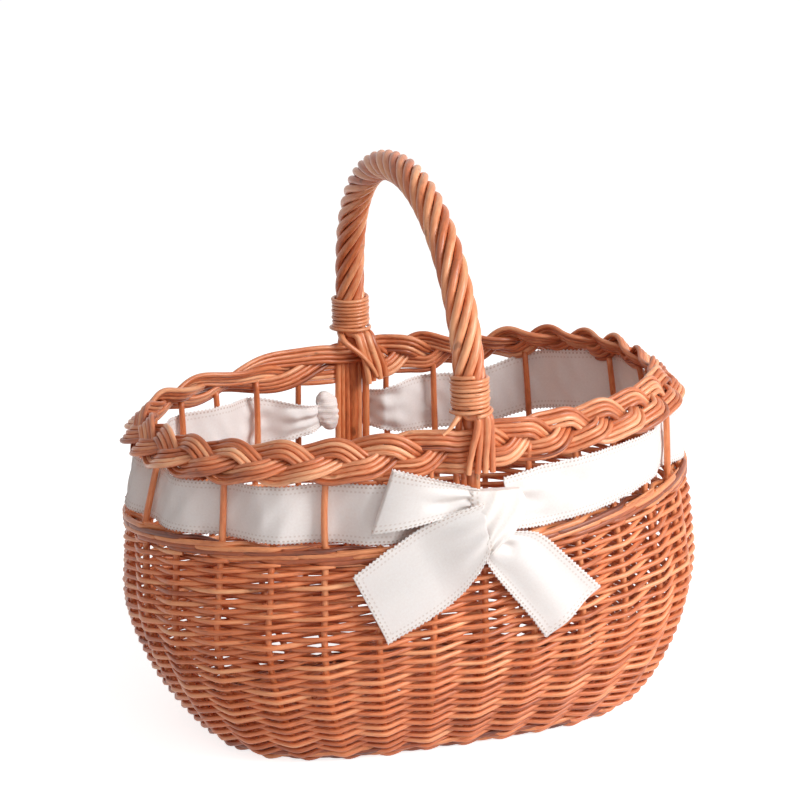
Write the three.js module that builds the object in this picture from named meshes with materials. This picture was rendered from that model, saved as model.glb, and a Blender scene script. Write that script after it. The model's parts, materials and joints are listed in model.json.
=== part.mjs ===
import * as THREE from 'three';

// Oval willow shopping basket with a plaited border, a roped arch handle and a threaded ribbon.
// Millimetres. +X runs along the basket, +Z is up and the bow is on the -Y side, the front.
// Every oval is measured by the length along it from its front middle, anticlockwise from above.

// Stakes, and the gap that is left between pieces that touch.
const FIT = 0.3;
const STAKE_PAIRS = 15;
const STAKE_D = 5;

// The oval of the wall's middle surface at the floor, and at the top of the wall.
const FLOOR_HALF_LENGTH = 148;
const FLOOR_HALF_WIDTH = 92;
const FLOOR_SQUARENESS = 3.1;
const BODY_HALF_LENGTH = 214;
const BODY_HALF_WIDTH = 149;
const BODY_SQUARENESS = 1.95;
const BODY_HEIGHT = 177;
// The top of the body is higher at both ends, and higher still at the right one.
const BODY_END_RISE = 4;
const BODY_LEAN = 5;
// Share of the height over which the wall rounds into the base, and how full that curve is.
const ROUND_SHARE = 0.62;
const ROUND_FULLNESS = 1.45;

// Wall: woven willow. Each row stands out at every second stake and falls in at the others. The
// inside is drawn with fewer and taller rows.
const WALL_THICKNESS = 7.2;
const WEAVE_DEPTH = 2.4;
const WEAVE_ROWS = 46;
const LINING_ROWS = 10;

// Foot: a twisted ring of rods that the basket stands on, with a flat tread.
const FOOT_HEIGHT = 10;
const FOOT_TREAD = 9;
const FOOT_FLARE = 14;
const FOOT_TWIST_DEPTH = 0.8;

// Base: a woven oval, a little domed, inside the foot.
const BASE_LIFT = 2.5;
const BASE_THICKNESS = 5;
const BASE_DOME = 5;
const BASE_RINGS = 6;
const BASE_WEAVE_DEPTH = 1.2;

// Wale: the heavier ring of rods that closes the top of the wall.
const WALE_HEIGHT = 11;
const WALE_THICKNESS = 12;
const WALE_TWIST_DEPTH = 0.9;

// Border: a plait of three flat strands that lies round the top, over a fence of open stakes.
const FENCE_HEIGHT = 46;
const STAKE_SIDES = 6;
const BORDER_INSET_LENGTH = 11;
const BORDER_INSET_WIDTH = 3;
const BORDER_SQUARENESS = 2.25;
const BORDER_LEAN = 7.5;
const STRAND_WIDTH = 11.2;
const STRAND_THICKNESS = 4.3;
const STRAND_TUCK = 0.8;
const STRAND_CLEARANCE = 1.7;
const PLAIT_TURNS_RIGHT = 5;
const PLAIT_TURNS_LEFT = 4;
const PLAIT_STEPS_PER_TURN = 12;
// The plait stands upright at the handle's feet. Away from them it leans in at the top.
const PLAIT_TILT = 0.75;
const PLAIT_TILT_EASE = 80;
// Share of a turn by which the first strand is ahead at the front foot of the handle.
const PLAIT_START = 0.75;

// Handle: a bent core rod, roped with thinner rods, that runs down through the border.
const HANDLE_OUTSET = 2;
const HANDLE_RISE = 146;
const HANDLE_SIDE_ROUNDNESS = 2.11;
const HANDLE_CROWN_ROUNDNESS = 2.35;
const HANDLE_SKEW = 9;
const HANDLE_CROWN_LEAN = 5;
const ROD_D = 5.9;
const ROD_GAP = 1.4;
const ROD_FOOT_D = 4.5;
const LAY_TURNS = 4;
const LAY_STEPS_PER_TURN = 9;
const CORE_FOOT_D = 4.8;
// At each foot some rods fan out over the border, and the others go down through it.
const FAN_RODS_EACH_SIDE = 2;
const SLOT_RODS_EACH_SIDE = 1;
const FAN_GAP = 1;
const BACK_FAN_LEAN = 12;

// Bindings of thin cane round both ends of the roping.
const BINDING_LOOPS = 7;
const BINDING_GAP = 0.7;
const CANE_D = 3.1;
const BINDING_LIFT = 8;
const SPRING_LIFT = 7;
const BINDING_STEPS_PER_LOOP = 14;

// Cotton ribbon threaded through the open stakes and tied in a bow at the front.
const RIBBON_WIDTH = 44;
const RIBBON_THICKNESS = 1;
const RIBBON_LIFT = 2;
const RIBBON_COLUMNS_PER_STAKE = 4;
const RIBBON_OUTSIDE_STAKES = 5;
const GATHER_LENGTH = 45;
const GATHER_SHARE = 0.5;
const BOW_ASIDE = 9;
const BOW_LIFT = 14;
const KNOT_WIDTH = 32;
const KNOT_HEIGHT = 42;
const KNOT_DEPTH = 15;
const BACK_KNOT_ASIDE = 20;
const BACK_KNOT_LIFT = 27;
const BACK_KNOT_WIDTH = 15;
const BACK_KNOT_HEIGHT = 34;
const BACK_KNOT_DEPTH = 11;
const KNOT_PLEAT = 0.08;
const LOOP_LENGTH = 62;
const LOOP_WIDTH = 44;
const LOOP_PUFF = 16;
const LOOP_LIFT = 17;
const LOOP_TILT = 3;
const TAIL_LENGTH = 92;
const TAIL_WIDTH = 52;
const TAIL_FOLD = 3;
const LEFT_TAIL_SLOPE = 0.56;
const RIGHT_TAIL_SLOPE = 0.8;

// Values that follow from the sizes above.
const TURN = Math.PI * 2;
const STAKE_R = STAKE_D / 2;
const ROD_R = ROD_D / 2;
const ROD_FOOT_R = ROD_FOOT_D / 2;
const CORE_FOOT_R = CORE_FOOT_D / 2;
const CANE_R = CANE_D / 2;
const STAKE_COUNT = STAKE_PAIRS * 2;
const BORDER_HALF_LENGTH = BODY_HALF_LENGTH - BORDER_INSET_LENGTH;
const BORDER_HALF_WIDTH = BODY_HALF_WIDTH - BORDER_INSET_WIDTH;
const PLAIT_RISE = STRAND_WIDTH - STRAND_TUCK;
const PLAIT_HEIGHT = STRAND_WIDTH + PLAIT_RISE * 2;
const PLAIT_SWING = STRAND_THICKNESS + STRAND_CLEARANCE;
const BORDER_HEIGHT = BODY_HEIGHT + FENCE_HEIGHT + PLAIT_HEIGHT / 2;
const BINDING_BOTTOM = BORDER_HEIGHT + PLAIT_HEIGHT / 2 + BINDING_LIFT;
const HANDLE_SPRING = BINDING_BOTTOM + SPRING_LIFT;
const HANDLE_TOP = HANDLE_SPRING + HANDLE_RISE;
const HANDLE_HALF_SPAN = BORDER_HALF_WIDTH + HANDLE_OUTSET;
const HALF_RODS = FAN_RODS_EACH_SIDE + SLOT_RODS_EACH_SIDE;
const ROD_COUNT = 1 + HALF_RODS * 2;
const LAY_RADIUS = (ROD_D + ROD_GAP) / (2 * Math.sin(Math.PI / ROD_COUNT));
const FAN_PITCH = ROD_FOOT_D + FAN_GAP;
const FIRST_SLOT = ROD_FOOT_R + CORE_FOOT_R + FIT;
const SLOT_PITCH = ROD_FOOT_D + FIT;
const FOOT_REACH = FIRST_SLOT + (SLOT_RODS_EACH_SIDE - 1) * SLOT_PITCH + ROD_FOOT_R;
const PASS_OFFSET = CORE_FOOT_R + FIT + STRAND_THICKNESS / 2;
const PASS_HALF = FOOT_REACH + FIT;
const PASS_EASE = 12;
const FAN_HALF = FAN_RODS_EACH_SIDE * FAN_PITCH + ROD_FOOT_R + FIT;
const UPRIGHT_HALF = FAN_HALF + BACK_FAN_LEAN;
const BINDING_PITCH = CANE_D + BINDING_GAP;
const BINDING_LENGTH = BINDING_LOOPS * BINDING_PITCH + CANE_D + FIT;
const BINDING_RADIUS = (LAY_RADIUS + ROD_R + FIT) / Math.cos(Math.PI / BINDING_STEPS_PER_LOOP) + CANE_R;
const RIBBON_OFFSET = STAKE_R + FIT + RIBBON_THICKNESS / 2;
const RIBBON_OUTER = RIBBON_OFFSET + RIBBON_THICKNESS / 2;

const WILLOW = 0xb5673c;
const WILLOW_LIGHT = 0xc98257;
const WILLOW_DARK = 0x8f4b2b;
const COTTON = 0xf3e9df;

const basket = new THREE.Group();

function addPiece(name, geometry, color, roughness) {
  const material = new THREE.MeshStandardMaterial({ color, roughness, metalness: 0 });
  const mesh = new THREE.Mesh(geometry, material);
  mesh.name = name;
  basket.add(mesh);
}

function smooth(t) {
  const c = Math.min(1, Math.max(0, t));
  return c * c * (3 - 2 * c);
}

function mix(a, b, t) {
  return a + (b - a) * t;
}

// A superellipse with its length tabulated, so that points can be set out evenly along it.
class Oval {
  constructor(halfLength, halfWidth, squareness) {
    this.points = [];
    this.lengths = [0];
    const steps = 1440;
    for (let i = 0; i <= steps; i += 1) {
      const angle = -Math.PI / 2 + (TURN * i) / steps;
      const c = Math.cos(angle);
      const s = Math.sin(angle);
      const r = (Math.abs(c) ** squareness + Math.abs(s) ** squareness) ** (-1 / squareness);
      this.points.push(new THREE.Vector2(halfLength * r * c, halfWidth * r * s));
      if (i > 0) {
        this.lengths.push(this.lengths[i - 1] + this.points[i].distanceTo(this.points[i - 1]));
      }
    }
    this.perimeter = this.lengths[steps];
  }

  // The point at a length along the oval, moved out along the normal.
  at(length, offset = 0) {
    const l = ((length % this.perimeter) + this.perimeter) % this.perimeter;
    let low = 0;
    let high = this.lengths.length - 1;
    while (high - low > 1) {
      const middle = (low + high) >> 1;
      if (this.lengths[middle] > l) high = middle;
      else low = middle;
    }
    const a = this.points[low];
    const b = this.points[high];
    const t = (l - this.lengths[low]) / (this.lengths[high] - this.lengths[low]);
    const along = b.clone().sub(a).normalize();
    return new THREE.Vector2(
      mix(a.x, b.x, t) + along.y * offset,
      mix(a.y, b.y, t) - along.x * offset,
    );
  }

  share(part, offset = 0) {
    return this.at(part * this.perimeter, offset);
  }
}

// Joins rings of points into one closed body. The last ring meets the first where it is a loop.
function loft(rings, isLoop) {
  const count = rings[0].length;
  const positions = rings.flat().flatMap((p) => [p.x, p.y, p.z]);
  const index = [];
  const spans = isLoop ? rings.length : rings.length - 1;
  for (let i = 0; i < spans; i += 1) {
    const a = i * count;
    const b = ((i + 1) % rings.length) * count;
    for (let k = 0; k < count; k += 1) {
      const n = (k + 1) % count;
      index.push(a + k, b + k, b + n, a + k, b + n, a + n);
    }
  }
  if (!isLoop) {
    const last = (rings.length - 1) * count;
    for (let k = 0; k < count / 2 - 1; k += 1) {
      const m = count - 1 - k;
      index.push(k, k + 1, m);
      index.push(last + k, last + m, last + k + 1);
      if (k + 1 < m - 1) {
        index.push(k + 1, m - 1, m);
        index.push(last + k + 1, last + m, last + m - 1);
      }
    }
  }
  return closedGeometry(positions, index);
}

// Turns the faces outwards by the sign of the volume that they enclose.
function closedGeometry(positions, index) {
  const at = (i) => new THREE.Vector3(positions[3 * i], positions[3 * i + 1], positions[3 * i + 2]);
  let volume = 0;
  for (let i = 0; i < index.length; i += 3) {
    volume += at(index[i]).dot(at(index[i + 1]).cross(at(index[i + 2])));
  }
  if (volume < 0) {
    for (let i = 0; i < index.length; i += 3) {
      [index[i + 1], index[i + 2]] = [index[i + 2], index[i + 1]];
    }
  }
  const geometry = new THREE.BufferGeometry();
  geometry.setAttribute('position', new THREE.Float32BufferAttribute(positions, 3));
  geometry.setIndex(index);
  geometry.computeVertexNormals();
  return geometry;
}

// A round rod along a path. Rings stand square to the path, and the radius may change along it.
// Where the ends are level, both are cut flat, as on a rod that stands on a flat face.
function rod(path, sides, radiusAt, hasLevelEnds = false) {
  const rings = [];
  let side = null;
  path.forEach((point, i) => {
    const before = path[Math.max(0, i - 1)];
    const after = path[Math.min(path.length - 1, i + 1)];
    const along = after.clone().sub(before).normalize();
    if (side === null) {
      side = new THREE.Vector3(Math.abs(along.x) > 0.9 ? 0 : 1, Math.abs(along.x) > 0.9 ? 1 : 0, 0);
    }
    side.addScaledVector(along, -side.dot(along)).normalize();
    const other = along.clone().cross(side);
    const ring = [];
    for (let k = 0; k < sides; k += 1) {
      const angle = (TURN * k) / sides;
      ring.push(
        point
          .clone()
          .addScaledVector(side, radiusAt(i) * Math.cos(angle))
          .addScaledVector(other, radiusAt(i) * Math.sin(angle)),
      );
    }
    if (hasLevelEnds && (i === 0 || i === path.length - 1)) {
      ring.forEach((corner) => corner.setZ(point.z));
    }
    rings.push(ring);
  });
  return loft(rings, false);
}

// Heights of the body's top and of the border's middle, which both lean a little.
function bodyTop(point) {
  const x = point.x / BODY_HALF_LENGTH;
  const y = point.y / BODY_HALF_WIDTH;
  return BODY_HEIGHT + BODY_END_RISE * (x * x - y * y) + BODY_LEAN * x;
}

function borderMiddle(point) {
  return BORDER_HEIGHT + (BORDER_LEAN * point.x) / BORDER_HALF_LENGTH;
}

// The wall's middle oval at a share of the body's height.
function wallOval(share) {
  const h = Math.min(1, share / ROUND_SHARE);
  const e = ROUND_FULLNESS;
  const inward = 1 - (1 - (1 - h) ** e) ** (1 / e);
  return new Oval(
    mix(BODY_HALF_LENGTH, FLOOR_HALF_LENGTH, inward),
    mix(BODY_HALF_WIDTH, FLOOR_HALF_WIDTH, inward),
    mix(FLOOR_SQUARENESS, BODY_SQUARENESS, share),
  );
}

const floorOval = wallOval(0);
const topOval = wallOval(1);
const borderOval = new Oval(BORDER_HALF_LENGTH, BORDER_HALF_WIDTH, BORDER_SQUARENESS);

// Foot ring: a leaning section with a flat tread, roped by moving its outer corners in and out.
function footGeometry() {
  const columns = STAKE_COUNT * 2;
  const flare = FOOT_FLARE;
  const tread = FOOT_TREAD / 2;
  const rings = [];
  for (let c = 0; c < columns; c += 1) {
    const part = c / columns;
    const twist = c % 2 ? FOOT_TWIST_DEPTH : -FOOT_TWIST_DEPTH;
    const section = [
      [-tread, 0],
      [tread, 0],
      [tread + flare * 0.65 + twist, FOOT_HEIGHT * 0.5],
      [tread + flare - twist, FOOT_HEIGHT * 0.95],
      [tread + flare * 0.42, FOOT_HEIGHT],
      [-tread + FOOT_HEIGHT * 0.6, FOOT_HEIGHT * 0.6],
    ];
    rings.push(
      section.map(([offset, z]) => {
        const p = floorOval.share(part, offset);
        return new THREE.Vector3(p.x, p.y, z);
      }),
    );
  }
  return loft(rings, true);
}

// Base: concentric rings of weave, raised and sunk in turn at every second stick.
function baseGeometry() {
  const columns = STAKE_COUNT;
  const lowEdge = -FOOT_TREAD / 2 + BASE_LIFT - FIT * 1.5;
  const topEdge = lowEdge + BASE_THICKNESS * 0.5;
  const positions = [];
  const index = [];
  const rowStart = [];
  for (const isTop of [false, true]) {
    for (let r = 0; r < BASE_RINGS; r += 1) {
      const share = (BASE_RINGS - r) / BASE_RINGS;
      rowStart.push(positions.length / 3);
      for (let c = 0; c < columns; c += 1) {
        const edge = floorOval.share(c / columns, isTop ? topEdge : lowEdge);
        const bump = r === 0 ? 0 : BASE_WEAVE_DEPTH * ((c + r) % 2 ? 1 : -1);
        const dome = BASE_DOME * (1 - share * share);
        const z = BASE_LIFT + dome + bump + (isTop ? BASE_THICKNESS : 0);
        positions.push(edge.x * share, edge.y * share, z);
      }
    }
    rowStart.push(positions.length / 3);
    positions.push(0, 0, BASE_LIFT + BASE_DOME + (isTop ? BASE_THICKNESS : 0));
  }
  const rowsPerSide = BASE_RINGS + 1;
  for (let side = 0; side < 2; side += 1) {
    const flip = side === 1;
    const push = (a, b, c) => (flip ? index.push(a, c, b) : index.push(a, b, c));
    for (let r = 0; r < BASE_RINGS - 1; r += 1) {
      const a = rowStart[side * rowsPerSide + r];
      const b = rowStart[side * rowsPerSide + r + 1];
      for (let c = 0; c < columns; c += 1) {
        const n = (c + 1) % columns;
        push(a + c, b + c, b + n);
        push(a + c, b + n, a + n);
      }
    }
    const inner = rowStart[side * rowsPerSide + BASE_RINGS - 1];
    const centre = rowStart[side * rowsPerSide + BASE_RINGS];
    for (let c = 0; c < columns; c += 1) {
      push(inner + c, centre, inner + ((c + 1) % columns));
    }
  }
  const low = rowStart[0];
  const high = rowStart[rowsPerSide];
  for (let c = 0; c < columns; c += 1) {
    const n = (c + 1) % columns;
    index.push(low + c, low + n, high + n, low + c, high + n, high + c);
  }
  return closedGeometry(positions, index);
}

// Shares of the body's height at both edges and at each row's middle. The rows are even along the
// front's profile.
function wallLevels(rows) {
  const samples = 400;
  const rise = [];
  let length = 0;
  for (let i = 0; i <= samples; i += 1) {
    const share = mix((FOOT_HEIGHT + FIT) / BODY_HEIGHT, 1, i / samples);
    const here = { share, width: wallOval(share).at(0).y, height: share * BODY_HEIGHT };
    if (i > 0) {
      const last = rise[i - 1];
      length += Math.hypot(here.width - last.width, here.height - last.height);
    }
    rise.push({ ...here, length });
  }
  return Array.from({ length: rows + 2 }, (_, j) => {
    const target = (length * Math.min(rows, Math.max(0, j - 0.5))) / rows;
    return rise.find((r) => r.length >= target - 1e-6).share;
  });
}

// Wall: the column at each stake runs up the outside, over the top edge and down the inside. A
// row stands out there, and the next row falls in, so a ridge climbs from stake to stake.
function wallGeometry() {
  const bottom = FOOT_HEIGHT + FIT;
  const faces = [
    { sign: 1, rows: WEAVE_ROWS },
    { sign: -1, rows: LINING_ROWS },
  ].map(({ sign, rows }) => {
    const levels = wallLevels(rows);
    return { sign, rows, levels, ovals: levels.map((share) => wallOval(share)) };
  });
  const rings = [];
  for (let c = 0; c < STAKE_COUNT; c += 1) {
    const part = c / STAKE_COUNT;
    const top = bodyTop(topOval.share(part)) - WALE_HEIGHT - FIT;
    const [outside, inside] = faces.map(({ sign, rows, levels, ovals }) =>
      levels.map((share, j) => {
        const isEdge = j === 0 || j === rows + 1;
        const weave = isEdge ? 0 : WEAVE_DEPTH * ((c + j) % 2 ? 1 : -1);
        const p = ovals[j].share(part, weave + (sign * WALL_THICKNESS) / 2);
        const height = mix(bottom, top, (share - levels[0]) / (1 - levels[0]));
        return new THREE.Vector3(p.x, p.y, height);
      }),
    );
    rings.push([...outside, ...inside.reverse()]);
  }
  return loft(rings, true);
}

// Wale: a stout ring with a flat top that the stakes stand on.
function waleGeometry() {
  const columns = STAKE_COUNT * 2;
  const half = WALE_THICKNESS / 2;
  const rings = [];
  for (let c = 0; c < columns; c += 1) {
    const part = c / columns;
    const top = bodyTop(topOval.share(part));
    const twist = c % 2 ? WALE_TWIST_DEPTH : -WALE_TWIST_DEPTH;
    const section = [
      [half * 0.75, 0],
      [half + twist, -WALE_HEIGHT * 0.3],
      [half - twist, -WALE_HEIGHT * 0.7],
      [half * 0.6, -WALE_HEIGHT],
      [-half * 0.6, -WALE_HEIGHT],
      [-half - twist, -WALE_HEIGHT * 0.5],
      [-half * 0.75, 0],
    ];
    rings.push(
      section.map(([offset, down]) => {
        const p = topOval.share(part, offset);
        return new THREE.Vector3(p.x, p.y, top + down);
      }),
    );
  }
  return loft(rings, true);
}

// The plait. Three strands swing up and down, and in and out at twice that rate, a third of a
// turn apart: a rising strand starts outside and ends under the one that comes down over it.
// Where the handle's foot passes through, they run straight and leave a slot.
const passes = [-HANDLE_SKEW, borderOval.perimeter / 2 - HANDLE_SKEW];

function distanceToPass(length) {
  const whole = borderOval.perimeter;
  return Math.min(
    ...passes.map((pass) => {
      const d = (((length - pass) % whole) + whole) % whole;
      return Math.min(d, whole - d);
    }),
  );
}

// Turns of the plait done, from the front foot to the back one and on round to the front again.
const plaitTable = (() => {
  const steps = 4000;
  const table = [0];
  const step = borderOval.perimeter / steps;
  for (let i = 0; i < steps; i += 1) {
    const turns = i < steps / 2 ? PLAIT_TURNS_RIGHT : PLAIT_TURNS_LEFT;
    const rate = smooth((distanceToPass(passes[0] + (i + 0.5) * step) - PASS_HALF) / PASS_EASE);
    table.push(table[i] + rate * turns);
  }
  const wholeTurn = table[steps] / (PLAIT_TURNS_RIGHT + PLAIT_TURNS_LEFT);
  return table.map((sum) => sum / wholeTurn);
})();

function plaitTurns(fromPass) {
  const last = plaitTable.length - 1;
  const place = (fromPass / borderOval.perimeter) * last;
  const whole = Math.floor(place);
  const rounds = Math.floor(whole / last);
  const i = whole - rounds * last;
  return rounds * plaitTable[last] + mix(plaitTable[i], plaitTable[i + 1], place - whole);
}

function plaitTilt(length) {
  return PLAIT_TILT * smooth((distanceToPass(length) - UPRIGHT_HALF) / PLAIT_TILT_EASE);
}

function strandPoint(strand, fromPass) {
  const length = passes[0] + fromPass;
  const phase = TURN * (plaitTurns(fromPass) + strand / 3 + PLAIT_START);
  const held = 1 - smooth((distanceToPass(length) - PASS_HALF) / PASS_EASE);
  const side = strand === 1 ? -1 : 1;
  const swing = PLAIT_RISE * Math.sin(phase);
  const offset = mix(-PLAIT_SWING * Math.sin(2 * phase), side * PASS_OFFSET, held);
  const tilt = plaitTilt(length);
  const p = borderOval.at(length, offset * Math.cos(tilt) - swing * Math.sin(tilt));
  const rise = offset * Math.sin(tilt) + swing * Math.cos(tilt);
  return new THREE.Vector3(p.x, p.y, borderMiddle(borderOval.at(length)) + rise);
}

// Lengths at which the strands have their sections: even in the plait's turn, and at the passes.
function plaitStations() {
  const stations = [];
  const last = plaitTable.length - 1;
  const count = plaitTable[last] * PLAIT_STEPS_PER_TURN;
  for (let j = 1; j < count; j += 1) {
    if (j === PLAIT_TURNS_RIGHT * PLAIT_STEPS_PER_TURN) continue;
    const i = plaitTable.findIndex((turns) => turns >= j / PLAIT_STEPS_PER_TURN);
    stations.push((i / last) * borderOval.perimeter);
  }
  for (const pass of [0, borderOval.perimeter / 2]) {
    stations.push(pass - PASS_HALF, pass, pass + PASS_HALF);
  }
  return stations.sort((a, b) => a - b);
}

// A strand's direction, and the two directions of its flat section: across its face, and out.
function strandFrame(strand, fromPass) {
  const reach = 1;
  const point = strandPoint(strand, fromPass);
  const along = strandPoint(strand, fromPass + reach).sub(strandPoint(strand, fromPass - reach));
  along.normalize();
  const a = borderOval.at(passes[0] + fromPass, 0);
  const b = borderOval.at(passes[0] + fromPass, 1);
  const tilt = plaitTilt(passes[0] + fromPass);
  const out = new THREE.Vector3(b.x - a.x, b.y - a.y, 0);
  out.multiplyScalar(Math.cos(tilt)).setZ(Math.sin(tilt));
  out.addScaledVector(along, -out.dot(along)).normalize();
  return { point, out, up: out.clone().cross(along).normalize() };
}

const strandSection = [
  [0.5, 0],
  [0.275, 0.5],
  [-0.275, 0.5],
  [-0.5, 0],
  [-0.275, -0.5],
  [0.275, -0.5],
].map(([u, v]) => [u * STRAND_WIDTH, v * STRAND_THICKNESS]);

function strandRing(strand, fromPass) {
  const { point, out, up } = strandFrame(strand, fromPass);
  return strandSection.map(([u, v]) =>
    point.clone().addScaledVector(up, u).addScaledVector(out, v),
  );
}

const stations = plaitStations();

function strandGeometry(strand) {
  return loft(stations.map((station) => strandRing(strand, station)), true);
}

// A strand's section at any length, on the straight lines between the two nearest stations.
function sectionAt(strand, fromPass) {
  const whole = borderOval.perimeter;
  const place = ((((fromPass - stations[0]) % whole) + whole) % whole) + stations[0];
  const i = stations.findLastIndex((station) => station <= place);
  const next = stations[i + 1] ?? stations[0] + whole;
  const end = strandRing(strand, next);
  const share = (place - stations[i]) / (next - stations[i]);
  return strandRing(strand, stations[i]).map((corner, k) => corner.lerp(end[k], share));
}

// Corners of the strands' sections beside a stake's width of the border, and points between them.
function plaitPointsNear(length) {
  const points = [];
  for (let strand = 0; strand < 3; strand += 1) {
    for (const aside of [-1, -0.75, -0.5, -0.25, 0, 0.25, 0.5, 0.75, 1]) {
      const ring = sectionAt(strand, length - passes[0] + aside * STAKE_D);
      ring.forEach((corner, k) => {
        const next = ring[(k + 1) % ring.length];
        points.push(...[0, 0.25, 0.5, 0.75].map((t) => corner.clone().lerp(next, t)));
      });
    }
  }
  return points;
}

// How far a point lies outside the border's middle line at a length.
function outsideBorder(point, length) {
  const middle = borderOval.at(length);
  const normal = borderOval.at(length, 1).sub(middle);
  return (point.x - middle.x) * normal.x + (point.y - middle.y) * normal.y;
}

// The lowest point of the plait right over one stake, which is where that stake's top meets it.
function plaitUnderside(length) {
  const above = plaitPointsNear(length).filter(
    (point) => Math.abs(outsideBorder(point, length)) < STAKE_D,
  );
  return Math.min(...above.map((point) => point.z));
}

// How far the plait reaches out between two lengths of the border.
function plaitReach(from, to) {
  let reach = 0;
  for (let length = from; length <= to; length += STAKE_D) {
    const places = plaitPointsNear(length).map((point) => outsideBorder(point, length));
    reach = Math.max(reach, ...places);
  }
  return reach;
}

// Point between the body's top and the border, at a share of both ovals and a height.
function fencePoint(part, z, offset = 0) {
  const low = topOval.share(part, offset);
  const high = borderOval.share(part, offset);
  const lowZ = bodyTop(topOval.share(part));
  const highZ = borderMiddle(borderOval.share(part)) - PLAIT_HEIGHT / 2;
  const t = (z - lowZ) / (highZ - lowZ);
  return new THREE.Vector3(mix(low.x, high.x, t), mix(low.y, high.y, t), z);
}

function stakeGeometry(number) {
  const part = number / STAKE_COUNT;
  const bottom = bodyTop(topOval.share(part)) + FIT;
  const top = plaitUnderside(part * borderOval.perimeter) - FIT * 2;
  const rings = [bottom, (bottom + top) / 2, top].map((z) => {
    const middle = fencePoint(part, z);
    return Array.from({ length: STAKE_SIDES }, (_, k) => {
      const angle = (TURN * k) / STAKE_SIDES;
      const ring = new THREE.Vector3(STAKE_R * Math.cos(angle), STAKE_R * Math.sin(angle), 0);
      return ring.add(middle);
    });
  });
  return loft(rings, false);
}

// The handle's axis: two short uprights and the arch between them, by length from its front end.
const handleAxis = (() => {
  const points = [new THREE.Vector2(-HANDLE_HALF_SPAN, BINDING_BOTTOM - FIT)];
  const steps = 400;
  for (let i = 0; i <= steps; i += 1) {
    const angle = (Math.PI * i) / steps - Math.PI / 2;
    const s = Math.sin(angle);
    const c = Math.max(0, Math.cos(angle));
    points.push(
      new THREE.Vector2(
        HANDLE_HALF_SPAN * Math.sign(s) * Math.abs(s) ** (2 / HANDLE_SIDE_ROUNDNESS),
        HANDLE_SPRING + (HANDLE_TOP - HANDLE_SPRING) * c ** (2 / HANDLE_CROWN_ROUNDNESS),
      ),
    );
  }
  points.push(new THREE.Vector2(HANDLE_HALF_SPAN, BINDING_BOTTOM - FIT));
  const lengths = [0];
  for (let i = 1; i < points.length; i += 1) {
    lengths.push(lengths[i - 1] + points[i].distanceTo(points[i - 1]));
  }
  return { points, lengths, total: lengths[lengths.length - 1] };
})();

function handlePoint(length) {
  const { points, lengths, total } = handleAxis;
  const l = Math.min(total, Math.max(0, length));
  let i = 1;
  while (i < lengths.length - 1 && lengths[i] < l) i += 1;
  const t = (l - lengths[i - 1]) / (lengths[i] - lengths[i - 1]);
  const y = mix(points[i - 1].x, points[i].x, t);
  const z = mix(points[i - 1].y, points[i].y, t);
  const lean = HANDLE_CROWN_LEAN * smooth((z - HANDLE_SPRING) / HANDLE_RISE);
  return new THREE.Vector3((HANDLE_SKEW * y) / HANDLE_HALF_SPAN - lean, y, z);
}

// A point beside the axis: turned by an angle from the arch's outer side, at a radius.
function besideHandle(length, angle, radius) {
  const reach = 1.5;
  const low = Math.max(0, length - reach);
  const along = handlePoint(low + 2 * reach).sub(handlePoint(low)).normalize();
  const across = new THREE.Vector3(HANDLE_HALF_SPAN, -HANDLE_SKEW, 0).normalize();
  const out = across.clone().cross(along).normalize();
  return handlePoint(length)
    .addScaledVector(out, radius * Math.cos(angle))
    .addScaledVector(across, radius * Math.sin(angle));
}

// One foot of the handle. Places are counted from the side that faces the front, to both sides.
const feet = [-1, 1].map((sign) => {
  const pass = sign < 0 ? passes[0] : passes[1];
  const border = borderOval.at(pass);
  const body = topOval.share(pass / borderOval.perimeter);
  return { sign, pass, border, body, middle: borderMiddle(border), top: bodyTop(body) };
});

function footPath(foot, place) {
  const fans = Math.abs(place) <= FAN_RODS_EACH_SIDE;
  const angle = (TURN * place) / ROD_COUNT;
  const axis = handlePoint(foot.sign < 0 ? 0 : handleAxis.total);
  const startX = axis.x + LAY_RADIUS * Math.sin(angle);
  const startY = axis.y - LAY_RADIUS * Math.cos(angle);
  const slotX = Math.sign(place) * (FIRST_SLOT + (HALF_RODS - Math.abs(place)) * SLOT_PITCH);
  const fanOut = PLAIT_SWING + STRAND_THICKNESS / 2 + FIT + ROD_FOOT_R;
  const endX = foot.border.x + (fans ? place * FAN_PITCH : slotX);
  const endY = foot.border.y - (fans ? fanOut : 0);
  const lean = fans && foot.sign > 0 ? BACK_FAN_LEAN : 0;
  const high = BINDING_BOTTOM - FIT;
  const clear = foot.middle + PLAIT_RISE / 2 + STRAND_WIDTH / 2 + FIT;
  const low = foot.middle - PLAIT_HEIGHT / 2;
  const path = [];
  for (const t of [0.25, 0.5, 0.75, 1]) {
    const z = mix(high, clear, t);
    path.push(new THREE.Vector3(mix(startX, endX, smooth(t)), mix(startY, endY, smooth(t)), z));
  }
  path.push(new THREE.Vector3(endX + lean * 0.5, endY, (clear + low) / 2));
  path.push(new THREE.Vector3(endX + lean, endY, low - FIT));
  if (!fans) {
    const end = new THREE.Vector3(foot.body.x + endX - foot.border.x, foot.body.y, 0);
    path.push(end.setZ(bodyTop(end) + FIT));
  }
  return path;
}

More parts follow.
